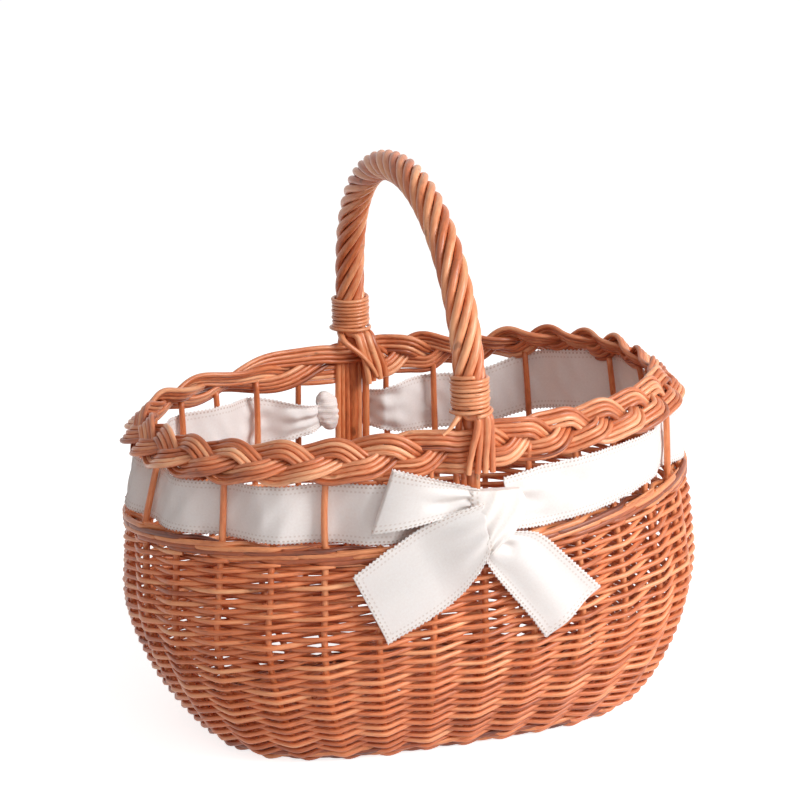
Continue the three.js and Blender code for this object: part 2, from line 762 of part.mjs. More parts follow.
// Core: the bent rod inside the roping. It is thin at both feet and full under the bindings.
function coreGeometry() {
  const sink = LAY_RADIUS * (1 - Math.cos(Math.PI / LAY_STEPS_PER_TURN));
  const full = LAY_RADIUS - ROD_R - FIT - sink;
  const steps = 32;
  const legs = feet.map((foot) => {
    const axis = handlePoint(foot.sign < 0 ? 0 : handleAxis.total);
    const low = foot.middle - PLAIT_HEIGHT / 2;
    const clear = foot.middle + PLAIT_RISE / 2 + STRAND_WIDTH / 2 + FIT;
    return [
      new THREE.Vector3(foot.body.x, foot.body.y, foot.top + FIT),
      new THREE.Vector3(foot.border.x, foot.border.y, low),
      new THREE.Vector3(foot.border.x, foot.border.y, clear),
      new THREE.Vector3(axis.x, axis.y, BINDING_BOTTOM - FIT),
    ];
  });
  const arch = [];
  for (let i = 1; i < steps; i += 1) {
    arch.push(handlePoint((handleAxis.total * i) / steps));
  }
  const path = [...legs[0], ...arch, ...legs[1].reverse()];
  const last = path.length - 1;
  const radiusAt = (i) => {
    const fromEnd = Math.min(i, last - i);
    const share = Math.min(1, Math.max(0, (fromEnd - 3) / 2));
    return mix(CORE_FOOT_R, full, share);
  };
  return rod(path, 8, radiusAt, true);
}

// Roping: each rod comes up one foot, winds round the core and goes down the other foot.
const layStart = BINDING_LENGTH + FIT;
const layLength = handleAxis.total - 2 * layStart;
const placeAngle = TURN / ROD_COUNT;
const layShift = Math.round((LAY_TURNS * TURN - Math.PI) / placeAngle);
const layTwist = Math.PI + layShift * placeAngle;

function centredPlace(place) {
  return ((((place + HALF_RODS) % ROD_COUNT) + ROD_COUNT) % ROD_COUNT) - HALF_RODS;
}

function ropingRodGeometry(number) {
  const frontPlace = centredPlace(number);
  const backPlace = -centredPlace(number + layShift);
  const startAngle = placeAngle * number;
  const steps = Math.round((layTwist / TURN) * LAY_STEPS_PER_TURN);
  const path = [...footPath(feet[0], frontPlace).reverse()];
  path.push(besideHandle(0, startAngle, LAY_RADIUS));
  for (let i = 0; i <= steps; i += 1) {
    const t = i / steps;
    path.push(besideHandle(layStart + layLength * t, startAngle + layTwist * t, LAY_RADIUS));
  }
  path.push(besideHandle(handleAxis.total, startAngle + layTwist, LAY_RADIUS));
  const last = path.length - 1;
  path.push(...footPath(feet[1], backPlace));
  const first = footPath(feet[0], frontPlace).length;
  const radiusAt = (i) => (i < first || i > last ? ROD_FOOT_R : ROD_R);
  return rod(path, 5, radiusAt, true);
}

// Bindings: one unbroken cane wound round the rods at each foot of the arch.
function bindingPath(isFront) {
  const path = [];
  const steps = BINDING_LOOPS * BINDING_STEPS_PER_LOOP;
  const low = CANE_R + FIT;
  const rise = BINDING_LOOPS * BINDING_PITCH;
  for (let i = 0; i <= steps; i += 1) {
    const length = low + (rise * i) / steps;
    const angle = (TURN * i) / BINDING_STEPS_PER_LOOP;
    const along = isFront ? length : handleAxis.total - length;
    path.push(besideHandle(along, isFront ? angle : -angle, BINDING_RADIUS));
  }
  return path;
}

// Least clear gap between the loops of a binding, measured on the points of neighbouring loops.
function leastGap(path) {
  let least = Infinity;
  for (let i = 0; i < path.length; i += 1) {
    for (let j = i + BINDING_STEPS_PER_LOOP / 2; j < path.length; j += 1) {
      least = Math.min(least, path[i].distanceTo(path[j]));
    }
  }
  return least - CANE_D;
}

// Ribbon bands. On the right the ribbon stays outside for the first stakes; from there on, and
// all along the left side, it passes every second stake on the other side.
function passesOutside(number) {
  const fromFront = Math.min(number, STAKE_COUNT - number);
  if (number < STAKE_COUNT / 2 && fromFront < RIBBON_OUTSIDE_STAKES) return true;
  const middle = Math.ceil(STAKE_COUNT / 4);
  return fromFront <= middle ? fromFront % 2 === 0 : fromFront % 2 === 1;
}

function ribbonOffset(part) {
  const place = part * STAKE_COUNT;
  const before = Math.floor(place);
  const side = (number) => {
    const n = ((number % STAKE_COUNT) + STAKE_COUNT) % STAKE_COUNT;
    if (n === 0 || n === STAKE_COUNT / 2) return 1;
    return passesOutside(n) ? 1 : -1;
  };
  const isBeforeFoot = (before + 1) % (STAKE_COUNT / 2) === 0;
  const turn = isBeforeFoot ? (place - before - 0.08) * 2.6 : (place - before) * 1.3 - 0.15;
  return RIBBON_OFFSET * mix(side(before), side(before + 1), smooth(turn));
}

function bandGeometry(fromPart, toPart) {
  const step = 1 / (STAKE_COUNT * RIBBON_COLUMNS_PER_STAKE);
  const parts = [fromPart];
  for (let k = Math.floor(fromPart / step) + 1; k * step < toPart; k += 1) {
    parts.push(k * step);
  }
  parts.push(toPart);
  const rings = [];
  const rows = 3;
  for (const part of parts) {
    const low = bodyTop(topOval.share(part)) + RIBBON_LIFT;
    const high = borderMiddle(borderOval.share(part)) - PLAIT_HEIGHT / 2 - FIT;
    const room = Math.min(RIBBON_WIDTH, high - low);
    const fromEnd = Math.min(part - fromPart, toPart - part) * borderOval.perimeter;
    const gather = mix(GATHER_SHARE, 1, smooth(fromEnd / GATHER_LENGTH));
    const offset = ribbonOffset(part);
    const face = (side) =>
      Array.from({ length: rows }, (_, r) => {
        const up = room * (0.5 + gather * (r / (rows - 1) - 0.5));
        return fencePoint(part, low + up, offset + (side * RIBBON_THICKNESS) / 2);
      });
    rings.push([...face(1), ...face(-1).reverse()]);
  }
  return loft(rings, false);
}

// A place outside the front of the basket: x, height, and depth out from the stakes' middle.
function outside(x, z, depth) {
  const part = x / topOval.perimeter;
  const wallShare = Math.min(1, z / bodyTop(topOval.share(part)));
  if (wallShare < 1) {
    const p = wallOval(wallShare).at(x, depth);
    return new THREE.Vector3(p.x, p.y, z);
  }
  return fencePoint(part, z, depth);
}

// A strip of ribbon along a path of places. The strip is creased along its length.
function stripGeometry(stations) {
  const across = 4;
  const rings = stations.map(({ middle, wide, depthDirection, width, fold }) => {
    const face = (side) =>
      Array.from({ length: across + 1 }, (_, k) => {
        const u = k / across - 0.5;
        const crease = fold * Math.cos(u * TURN * 2);
        return middle
          .clone()
          .addScaledVector(wide, u * width)
          .addScaledVector(depthDirection, crease + (side * RIBBON_THICKNESS) / 2);
      });
    return [...face(1), ...face(-1).reverse()];
  });
  return loft(rings, false);
}

const outwards = new THREE.Vector3(0, -1, 0);
const knotX = feet[0].border.x + BOW_ASIDE;
const knotZ = feet[0].top + BOW_LIFT;

// A knot: a pleated barrel, rounded to both ends, that stands upright.
function knotGeometry(centre, width, height, depth) {
  const sides = 12;
  const pleats = 3;
  const rings = [];
  for (let r = 1; r < 7; r += 1) {
    const angle = (Math.PI * r) / 7;
    const ring = [];
    for (let k = 0; k < sides; k += 1) {
      const around = (TURN * k) / sides;
      const reach = (Math.sin(angle) * (1 + KNOT_PLEAT * Math.cos(around * pleats))) / 2;
      const x = centre.x + reach * width * Math.cos(around);
      const y = centre.y + reach * depth * Math.sin(around);
      ring.push(new THREE.Vector3(x, y, centre.z - (Math.cos(angle) * height) / 2));
    }
    rings.push(ring);
  }
  return loft(rings, false);
}

// The loop of the bow: out from the knot to the left, round, and back behind itself. It stands
// out far enough to pass in front of the border.
function loopGeometry() {
  const steps = 12;
  const reach = KNOT_WIDTH / 2 + FIT;
  const wide = new THREE.Vector3(0.12, 0, 1).normalize();
  const inner = RIBBON_OUTER + FIT + RIBBON_THICKNESS;
  const loopEnd = feet[0].pass - reach - LOOP_LENGTH;
  const outer = plaitReach(loopEnd, feet[0].pass) + FIT + RIBBON_THICKNESS;
  const middles = [];
  const aways = [];
  for (let i = 0; i <= steps; i += 1) {
    const angle = (Math.PI * i) / steps;
    const away = Math.sin(angle) ** 0.8;
    const bulge = (LOOP_PUFF * (1 + Math.cos(angle))) / 2;
    const depth = mix(inner, outer, smooth(away * 2)) + bulge * (0.35 + 0.65 * away);
    const x = knotX - reach - LOOP_LENGTH * away;
    middles.push(outside(x, knotZ + LOOP_LIFT + LOOP_TILT * away, depth));
    aways.push(away);
  }
  const stations = middles.map((middle, i) => {
    const before = middles[Math.max(0, i - 1)];
    const after = middles[Math.min(steps, i + 1)];
    return {
      middle,
      wide,
      depthDirection: after.clone().sub(before).cross(wide).normalize(),
      width: mix(KNOT_HEIGHT * 0.4, LOOP_WIDTH, smooth(aways[i] * 1.4)),
      fold: RIBBON_THICKNESS * 0.4 * (1 - aways[i]),
    };
  });
  return stripGeometry(stations);
}

// A tail of the bow: it hangs from the knot over the wale, flares and ends in a straight cut.
function tailGeometry(direction, slope) {
  const steps = 10;
  const stations = [];
  const start = Math.hypot(Math.cos(slope) * KNOT_WIDTH, Math.sin(slope) * KNOT_HEIGHT) / 2 + FIT;
  const run = new THREE.Vector3(direction * Math.cos(slope), 0, -Math.sin(slope));
  const wide = new THREE.Vector3(Math.sin(slope) * direction, 0, Math.cos(slope));
  for (let i = 0; i <= steps; i += 1) {
    const t = i / steps;
    const x = knotX + run.x * (start + TAIL_LENGTH * t);
    const z = knotZ + run.z * (start + TAIL_LENGTH * t);
    const depth = WALE_THICKNESS / 2 + WALE_TWIST_DEPTH + FIT + TAIL_FOLD + RIBBON_THICKNESS / 2;
    stations.push({
      middle: outside(x, z, depth + 2 * Math.sin(t * Math.PI)),
      wide,
      depthDirection: outwards,
      width: mix(KNOT_HEIGHT * 0.5, TAIL_WIDTH, smooth(t * 1.6)),
      fold: TAIL_FOLD * (1 - 0.6 * t),
    });
  }
  return stripGeometry(stations);
}

addPiece('foot_ring', footGeometry(), WILLOW_DARK, 0.55);
addPiece('base_weave', baseGeometry(), WILLOW, 0.6);
addPiece('wall_weave', wallGeometry(), WILLOW, 0.55);
addPiece('wale_ring', waleGeometry(), WILLOW_DARK, 0.55);
for (let strand = 0; strand < 3; strand += 1) {
  addPiece(`border_strand_${strand + 1}`, strandGeometry(strand), WILLOW_LIGHT, 0.5);
}
for (let number = 1; number < STAKE_COUNT; number += 1) {
  if (number === STAKE_COUNT / 2) continue;
  addPiece(`stake_${String(number).padStart(2, '0')}`, stakeGeometry(number), WILLOW, 0.5);
}
addPiece('handle_core', coreGeometry(), WILLOW_DARK, 0.6);
for (let number = 0; number < ROD_COUNT; number += 1) {
  addPiece(`handle_rod_${number + 1}`, ropingRodGeometry(number), WILLOW_LIGHT, 0.5);
}
for (const isFront of [true, false]) {
  const path = bindingPath(isFront);
  const name = isFront ? 'binding_front' : 'binding_back';
  addPiece(name, rod(path, 5, () => CANE_R), WILLOW_LIGHT, 0.5);
  console.log(`${name}: least gap between its loops ${leastGap(path).toFixed(2)} mm`);
}
// Both bands start under the bow's knot. They end at a second knot, beside the back foot.
const knotPart = knotX / borderOval.perimeter;
const backKnotPart = (feet[1].pass + BACK_KNOT_ASIDE) / borderOval.perimeter;
const bandGap = FIT / borderOval.perimeter;
const backGap = ((1 - KNOT_PLEAT / 2) * BACK_KNOT_WIDTH) / 2 / borderOval.perimeter + bandGap;
addPiece('ribbon_right', bandGeometry(knotPart + bandGap, backKnotPart - backGap), COTTON, 0.85);
addPiece('ribbon_left', bandGeometry(backKnotPart + backGap, 1 + knotPart - bandGap), COTTON, 0.85);
const knotCentre = outside(knotX, knotZ, RIBBON_OUTER + KNOT_DEPTH / 2);
addPiece('bow_knot', knotGeometry(knotCentre, KNOT_WIDTH, KNOT_HEIGHT, KNOT_DEPTH), COTTON, 0.85);
addPiece('bow_loop', loopGeometry(), COTTON, 0.85);
addPiece('bow_tail_left', tailGeometry(-1, LEFT_TAIL_SLOPE), COTTON, 0.85);
addPiece('bow_tail_right', tailGeometry(1, RIGHT_TAIL_SLOPE), COTTON, 0.85);
const backCentre = fencePoint(backKnotPart, feet[1].top + BACK_KNOT_LIFT);
const backKnot = knotGeometry(backCentre, BACK_KNOT_WIDTH, BACK_KNOT_HEIGHT, BACK_KNOT_DEPTH);
addPiece('ribbon_knot_back', backKnot, COTTON, 0.85);

// The origin is the middle of the footprint's box, on the floor.
const extent = new THREE.Box3().setFromObject(basket);
const centre = extent.getCenter(new THREE.Vector3());
basket.position.set(-centre.x, -centre.y, -extent.min.z);
basket.updateMatrixWorld(true);

export default basket;
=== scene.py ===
# %% [markdown]
# # A willow shopping basket with a threaded cotton ribbon
#
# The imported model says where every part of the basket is. This lesson lays real rods and real
# ribbon in those places. A woven thing is easiest to believe when each rod is drawn as a rod, so
# nearly everything here is one idea used many times: a path worked out by a formula, and a round
# section carried along it.

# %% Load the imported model, which is the fixed frame
import json
import math

import bpy
import numpy as np
from mathutils import Matrix, Vector

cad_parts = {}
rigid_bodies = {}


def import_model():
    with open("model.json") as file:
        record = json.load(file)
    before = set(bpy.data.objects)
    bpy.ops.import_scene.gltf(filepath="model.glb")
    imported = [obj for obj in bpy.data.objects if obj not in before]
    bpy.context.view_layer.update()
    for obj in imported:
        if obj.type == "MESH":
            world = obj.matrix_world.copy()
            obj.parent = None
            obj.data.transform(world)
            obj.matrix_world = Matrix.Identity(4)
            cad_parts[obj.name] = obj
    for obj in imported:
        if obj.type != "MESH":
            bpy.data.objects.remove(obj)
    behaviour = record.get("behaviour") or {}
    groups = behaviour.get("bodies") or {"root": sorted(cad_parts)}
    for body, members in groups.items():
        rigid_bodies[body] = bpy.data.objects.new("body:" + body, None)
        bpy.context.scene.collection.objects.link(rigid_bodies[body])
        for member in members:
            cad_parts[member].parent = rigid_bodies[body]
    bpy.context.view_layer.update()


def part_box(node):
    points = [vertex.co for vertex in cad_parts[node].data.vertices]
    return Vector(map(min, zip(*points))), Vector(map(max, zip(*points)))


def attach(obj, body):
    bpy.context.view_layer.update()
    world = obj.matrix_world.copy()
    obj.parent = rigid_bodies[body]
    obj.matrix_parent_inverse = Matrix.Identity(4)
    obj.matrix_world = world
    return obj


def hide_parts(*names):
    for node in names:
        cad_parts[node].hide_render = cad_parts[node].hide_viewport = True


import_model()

# %% [markdown]
# ## Millimetres round the middle of the foot
#
# A basket maker measures from the middle of the base. All the formulas below do the same, in
# millimetres: +X along the basket, +Z up, and -Y to the front, where the bow is. One function
# turns such a point into the row's metres when a mesh is written.

# %% From the maker's millimetres to the row's metres
MM = 0.001
foot_low, foot_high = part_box("foot_ring")
FOOT_MIDDLE = np.array([(foot_low.x + foot_high.x) / 2, (foot_low.y + foot_high.y) / 2, 0.0])


def to_metres(points):
    """Points in millimetres from the middle of the foot, as metres of the row's frame."""
    return np.asarray(points, float) * MM + FOOT_MIDDLE


print("middle of the foot in metres:", FOOT_MIDDLE.round(5))

# %% [markdown]
# ## The camera
#
# The photograph was taken from a little above and from the left, with a long lens, so the near
# and far rims are almost the same size. The camera stands on a sphere round its target: azimuth
# and elevation say where, the distance says how far, and a small roll levels the picture.

# %% Camera at the photograph's viewing angle
VIEW_AZIMUTH = math.radians(-20.563)
VIEW_ELEVATION = math.radians(13.668)
VIEW_ROLL = math.radians(-1.146)
VIEW_DISTANCE = 2299.2
VIEW_TARGET = np.array([-6.157, 0.0, 240.397])
SENSOR_WIDTH = 36.0
IMAGE_SIZE = 800
FOCAL_PIXELS = 3070.2


def make_camera():
    """Back points from the target to the camera, right is level, and up is their cross."""
    sin_a, cos_a = math.sin(VIEW_AZIMUTH), math.cos(VIEW_AZIMUTH)
    sin_e, cos_e = math.sin(VIEW_ELEVATION), math.cos(VIEW_ELEVATION)
    back = np.array([sin_a * cos_e, -cos_a * cos_e, sin_e])
    right = np.array([cos_a, sin_a, 0.0])
    up = np.cross(back, right)
    turned_right = right * math.cos(VIEW_ROLL) + up * math.sin(VIEW_ROLL)
    turned_up = up * math.cos(VIEW_ROLL) - right * math.sin(VIEW_ROLL)
    place = to_metres(VIEW_TARGET + back * VIEW_DISTANCE)
    data = bpy.data.cameras.new("camera")
    data.sensor_width = SENSOR_WIDTH
    data.lens = FOCAL_PIXELS / IMAGE_SIZE * SENSOR_WIDTH
    camera = bpy.data.objects.new("camera", data)
    columns = np.stack([turned_right, turned_up, back, place], 1)
    camera.matrix_world = Matrix([*columns.tolist(), [0, 0, 0, 1]])
    bpy.context.scene.collection.objects.link(camera)
    bpy.context.scene.camera = camera
    return camera


camera = make_camera()
print("camera lens in millimetres:", round(camera.data.lens, 2))

# %% [markdown]
# ## Ovals that are measured by their length
#
# Seen from above, every ring of this basket is a superellipse, fuller than an ellipse. Stakes
# stand at even steps along it, so a point is asked for by its length from the front middle and
# not by its angle.

# %% Small tools that every shape uses
TINY = 1e-9


def mix(a, b, t):
    """a where t is 0, b where t is 1."""
    return a + (b - a) * t


def smooth(t):
    """An ease from 0 to 1: 3t^2 - 2t^3, with t held between 0 and 1."""
    held = np.clip(t, 0, 1)
    return held * held * (3 - 2 * held)


def unit(vectors):
    """Vectors divided by their own lengths."""
    return vectors / np.maximum(np.linalg.norm(vectors, axis=-1, keepdims=True), TINY)


def running(steps):
    """Nothing, then the first step, then the first two together, and so on."""
    return np.concatenate([[0], np.cumsum(steps)])


# %% Superellipses by length
OVAL_STEPS = 1440
NORMAL_REACH = 1.0


class Oval:
    """A superellipse whose radius is (|cos|^n + |sin|^n)^(-1/n), times its half sizes.

    Lengths run anticlockwise from the front middle."""

    def __init__(self, half_length, half_width, squareness):
        angle = np.linspace(-0.5 * np.pi, 1.5 * np.pi, OVAL_STEPS + 1)
        cosine, sine = np.cos(angle), np.sin(angle)
        radius = (np.abs(cosine) ** squareness + np.abs(sine) ** squareness) ** (-1 / squareness)
        self.outline = np.stack([half_length * radius * cosine, half_width * radius * sine])
        self.lengths = running(np.hypot(*np.diff(self.outline, axis=1)))
        self.perimeter = self.lengths[-1]

    def on(self, length):
        """Points at lengths along the outline, between its tabulated points."""
        wrapped = np.mod(length, self.perimeter)
        return np.stack([np.interp(wrapped, self.lengths, axis) for axis in self.outline], -1)

    def at(self, length, offset=0.0):
        """Points at lengths, moved out along the normal, which is the tangent turned right."""
        length = np.asarray(length, float)
        along = unit(self.on(length + NORMAL_REACH) - self.on(length - NORMAL_REACH))
        normal = np.stack([along[..., 1], -along[..., 0]], -1)
        return self.on(length) + normal * np.asarray(offset, float)[..., None]

    def share(self, part, offset=0.0):
        """The same by share of the whole perimeter."""
        return self.at(np.asarray(part, float) * self.perimeter, offset)


# %% The basket's driving sizes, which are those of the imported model
STAKE_COUNT = 30
STAKE_D = 5.0
FLOOR_SIZE = (148.0, 92.0, 3.1)
BODY_SIZE = (214.0, 149.0, 1.95)
BORDER_SIZE = (203.0, 146.0, 2.25)
BODY_HEIGHT = 177.0
BODY_END_RISE = 4.0
BODY_LEAN = 5.0
BORDER_LEAN = 7.5
ROUND_SHARE = 0.62
ROUND_FULLNESS = 1.45
FENCE_HEIGHT = 46.0
STRAND_WIDTH = 11.2
STRAND_TUCK = 0.8
PLAIT_RISE = STRAND_WIDTH - STRAND_TUCK
PLAIT_HEIGHT = STRAND_WIDTH + PLAIT_RISE * 2
BORDER_HEIGHT = BODY_HEIGHT + FENCE_HEIGHT + PLAIT_HEIGHT / 2
top_oval = Oval(*BODY_SIZE)
border_oval = Oval(*BORDER_SIZE)
print("round the body:", round(top_oval.perimeter), "mm, round the border:",
      round(border_oval.perimeter), "mm")


def body_top(x, y):
    """Height of the body's top edge: level + rise (x^2 - y^2) + lean x, with x and y as shares."""
    across, deep = x / BODY_SIZE[0], y / BODY_SIZE[1]
    return BODY_HEIGHT + BODY_END_RISE * (across**2 - deep**2) + BODY_LEAN * across


def border_middle(x):
    """Height of the border's middle line, which leans in x."""
    return BORDER_HEIGHT + BORDER_LEAN * x / BORDER_SIZE[0]


# %% [markdown]
# ## The side as a surface of two parameters
#
# The body rounds in towards the base. A grid of points over height and length round the basket
# holds that surface once, with its true normal, and the weavers then only say where they run on
# it and how far in or out of it they are. Offsets along the true normal, and not straight out,
# are what tip the strokes of the weave near the base.

# %% The side's surface, by share of the rise and share of the round
SURFACE_LEVELS = 120
SURFACE_COLUMNS = 720


class Surface:
    """A grid of points, levels by columns, closed round. Between them it is bilinear."""

    def __init__(self, points):
        along = np.roll(points, -1, 1) - np.roll(points, 1, 1)
        self.points = points
        self.normal = unit(np.cross(along, np.gradient(points, axis=0)))

    def look_up(self, grid, part, rise):
        """The four nearest grid values, weighted by how near they are."""
        column = np.mod(part, 1) * SURFACE_COLUMNS
        level = np.clip(rise, 0, 1) * (SURFACE_LEVELS - 1)
        c0 = np.floor(column).astype(int)
        r0 = np.minimum(np.floor(level).astype(int), SURFACE_LEVELS - 2)
        u, v = (column - c0)[..., None], (level - r0)[..., None]
        c0, c1 = c0 % SURFACE_COLUMNS, (c0 + 1) % SURFACE_COLUMNS
        low = mix(grid[r0, c0], grid[r0, c1], u)
        high = mix(grid[r0 + 1, c0], grid[r0 + 1, c1], u)
        return mix(low, high, v)

    def at(self, part, rise, offset=0.0):
        """Points on the surface, moved out along its normal."""
        part, rise = np.broadcast_arrays(np.asarray(part, float), np.asarray(rise, float))
        out = self.look_up(self.normal, part, rise)
        return self.look_up(self.points, part, rise) + out * np.asarray(offset, float)[..., None]


def wall_oval(share):
    """The side's oval at a share of the height. It curves in to the floor's as a superellipse."""
    height = min(1, share / ROUND_SHARE)
    inward = 1 - (1 - (1 - height) ** ROUND_FULLNESS) ** (1 / ROUND_FULLNESS)
    return Oval(
        mix(BODY_SIZE[0], FLOOR_SIZE[0], inward),
        mix(BODY_SIZE[1], FLOOR_SIZE[1], inward),
        mix(FLOOR_SIZE[2], BODY_SIZE[2], share),
    )


def make_side():
    """Levels are even along the curve of the front's profile, from the floor to the body's top."""
    fine = np.linspace(0, 1, 4 * SURFACE_LEVELS)
    widths = np.array([wall_oval(share).outline[1, 0] for share in fine])
    lengths = running(np.hypot(np.diff(widths), np.diff(fine * BODY_HEIGHT)))
    shares = np.interp(np.linspace(0, lengths[-1], SURFACE_LEVELS), lengths, fine)
    part = np.arange(SURFACE_COLUMNS) / SURFACE_COLUMNS
    top = top_oval.share(part)
    rows = []
    for share in shares:
        plan = wall_oval(share).share(part)
        height = share * body_top(top[:, 0], top[:, 1])
        rows.append(np.column_stack([plan, height]))
    return Surface(np.array(rows)), lengths[-1]


side, SIDE_LENGTH = make_side()
print("up the side from floor to top edge:", round(SIDE_LENGTH), "mm")

# %% [markdown]
# ## Rods
#
# One class lays every rod. It takes many paths at once, carries a circle along each, and keeps
# the grain straight by carrying the circle's first direction without twist. A UV map holds the
# length along the rod in centimetres and the place round it, and an attribute holds each rod's
# own tone, so that one material can make every rod a little different.

# %% Round rods along paths
CENTIMETRES = 0.1
UP = np.array([0.0, 0.0, 1.0])
# A direction along which no rod runs.
ASLANT = np.array([0.31, 0.52, 0.79])


def carried_side(along):
    """A direction square to each tangent: the last one with its part along the path removed."""
    side_now = np.cross(along[:, 0], ASLANT)
    sides = np.empty_like(along)
    for i in range(along.shape[1]):
        tangent = along[:, i]
        side_now = unit(side_now - tangent * np.sum(side_now * tangent, -1, keepdims=True))
        sides[:, i] = side_now
    return sides


def link_piece(name, mesh, finish, nodes):
    """Makes the object at the origin, with its finish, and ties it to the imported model."""
    piece = bpy.data.objects.new(name, mesh)
    bpy.context.scene.collection.objects.link(piece)
    mesh.materials.append(finish)
    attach(piece, "root")
    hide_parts(*nodes)
    return piece


def write_mesh(name, points, polygons, uvs, numbers):
    """Vertices, polygons of any number of corners, one UV map and named numbers per vertex."""
    mesh = bpy.data.meshes.new(name)
    corners = np.concatenate([p.ravel() for p in polygons])
    sizes = np.concatenate([np.full(len(p), p.shape[1]) for p in polygons])
    mesh.vertices.add(len(points))
    mesh.vertices.foreach_set("co", to_metres(points).ravel().astype(np.float32))
    mesh.loops.add(len(corners))
    mesh.loops.foreach_set("vertex_index", corners.astype(np.int32))
    mesh.polygons.add(len(sizes))
    starts = running(sizes)[:-1]
    mesh.polygons.foreach_set("loop_start", starts.astype(np.int32))
    mesh.update(calc_edges=True)
    mesh.polygons.foreach_set("use_smooth", (sizes == 4))
    layer = mesh.uv_layers.new(name="lay")
    layer.data.foreach_set("uv", np.concatenate([u.reshape(-1, 2) for u in uvs]).ravel())
    for label, values in numbers.items():
        attribute = mesh.attributes.new(label, "FLOAT", "POINT")
        attribute.data.foreach_set("value", np.asarray(values, np.float32))
    mesh.update()
    return mesh


class Rods:
    """Gathers rods and writes them as one mesh."""

    def __init__(self):
        self.count = 0
        self.points, self.tones = [], []
        self.quads, self.quad_uvs = [], []
        self.caps, self.cap_uvs = {}, {}

    def lay(self, paths, radii, tones=0.5, sides=8, closed=False):
        """Rods of a circle's section: centre + radius (cos side + sin (along x side)).

        A closed rod runs back to its start, and its side is level."""
        paths = np.asarray(paths, float)
        paths = paths[None] if paths.ndim == 2 else paths
        rods, stations, _ = paths.shape
        if closed:
            along = unit(np.roll(paths, -1, 1) - np.roll(paths, 1, 1))
            first = unit(np.cross(along, UP))
        else:
            along = unit(np.gradient(paths, axis=1))
            first = carried_side(along)
        second = np.cross(along, first)
        angle = 2 * np.pi * np.arange(sides) / sides
        cosine, sine = np.cos(angle)[:, None], np.sin(angle)[:, None]
        ring = first[:, :, None] * cosine + second[:, :, None] * sine
        radii = np.broadcast_to(radii, (rods, stations))
        points = paths[:, :, None] + ring * radii[:, :, None, None]
        steps = np.linalg.norm(np.diff(paths, axis=1), axis=-1) * CENTIMETRES
        near = self.count + np.arange(rods * stations * sides).reshape(rods, stations, sides)
        far = np.roll(near, -1, 1)
        ends = np.concatenate([near[:, 0, ::-1], near[:, -1]])
        if closed:
            steps = np.concatenate([steps, steps[:, :1]], 1)
        else:
            near, far = near[:, :-1], far[:, :-1]
        quads = np.stack([near, np.roll(near, -1, 2), np.roll(far, -1, 2), far], -1)
        length = np.concatenate([np.zeros((rods, 1)), np.cumsum(steps, 1)], 1)[..., None]
        u = np.stack([length[:, :-1], length[:, :-1], length[:, 1:], length[:, 1:]], -1)
        u = np.broadcast_to(u, quads.shape)
        around = np.arange(sides) / sides
        v = np.stack([around, around + 1 / sides, around + 1 / sides, around], -1)
        v = np.broadcast_to(v, quads.shape)
        self.quads.append(quads.reshape(-1, 4))
        self.quad_uvs.append(np.stack([u, v], -1).reshape(-1, 2))
        if not closed:
            self.caps.setdefault(sides, []).append(ends)
            self.cap_uvs.setdefault(sides, []).append(np.full((ends.size, 2), -1.0))
        self.points.append(points.reshape(-1, 3))
        self.tones.append(np.repeat(np.broadcast_to(tones, (rods,)), stations * sides))
        self.count += points.size // 3

    def write(self, name, finish, slot, *nodes):
        """One object of all the rods gathered so far."""
        polygons = [np.concatenate(self.quads)]
        uvs = [np.concatenate(self.quad_uvs)]
        for sides, caps in self.caps.items():
            polygons.append(np.concatenate(caps))
            uvs.append(np.concatenate(self.cap_uvs[sides]))
        numbers = {"tone": np.concatenate(self.tones)}
        mesh = write_mesh(name, np.concatenate(self.points), polygons, uvs, numbers)
        print(f"{name}: {len(mesh.polygons)} faces")
        return link_piece(name, mesh, finish, nodes)


# %% [markdown]
# ## Shader maths as plain expressions
#
# A wire is one output of a node. Adding or multiplying wires adds Math nodes, so a pattern reads
# like the formula that it is. Every other node comes from one method, which takes the node's
# type, its settings and the values or wires of its inputs.

# %% Wires and finishes
class Wire:
    """One socket of a shader. Arithmetic on it adds Math nodes."""

    def __init__(self, finish, socket):
        self.finish, self.socket = finish, socket

    def math(self, operation, first, second):
        """A Math node with this operation."""
        return self.finish.add("ShaderNodeMath", {"operation": operation}, {0: first, 1: second})

    def __add__(self, other):
        return self.math("ADD", self, other)

    __radd__ = __add__

    def __mul__(self, other):
        return self.math("MULTIPLY", self, other)

    __rmul__ = __mul__

    def __sub__(self, other):
        return self.math("SUBTRACT", self, other)

    def __rsub__(self, other):
        return self.math("SUBTRACT", other, self)

    def __lt__(self, other):
        return self.math("LESS_THAN", self, other)


class Finish:
    """A material, or the world, whose nodes are added one by one."""

    def __init__(self, owner):
        self.owner = owner
        owner.use_nodes = True
        self.tree = owner.node_tree
        self.tree.nodes.clear()

    def add(self, kind, settings=None, inputs=None, output=0):
        """A node of this type. Settings come first, and then values or wires for its inputs."""
        node = self.tree.nodes.new(kind)
        for key, value in (settings or {}).items():
            if key == "stops":
                self.set_stops(node.color_ramp, value)
            else:
                setattr(node, key, value)
        for key, value in (inputs or {}).items():
            if isinstance(value, Wire):
                self.tree.links.new(value.socket, node.inputs[key])
            else:
                node.inputs[key].default_value = value
        return Wire(self, node.outputs[output])

    def set_stops(self, ramp, stops):
        """Gives a ramp its places and colours, with more elements where it has too few."""
        while len(ramp.elements) < len(stops):
            ramp.elements.new(0.5)
        for element, (place, color) in zip(ramp.elements, stops):
            element.position = place
            element.color = color

    def end(self, shader, kind="ShaderNodeOutputMaterial"):
        """The shader that the material or the world shows."""
        last = self.tree.nodes.new(kind)
        self.tree.links.new(shader.socket, last.inputs["Surface"])
        return self.owner


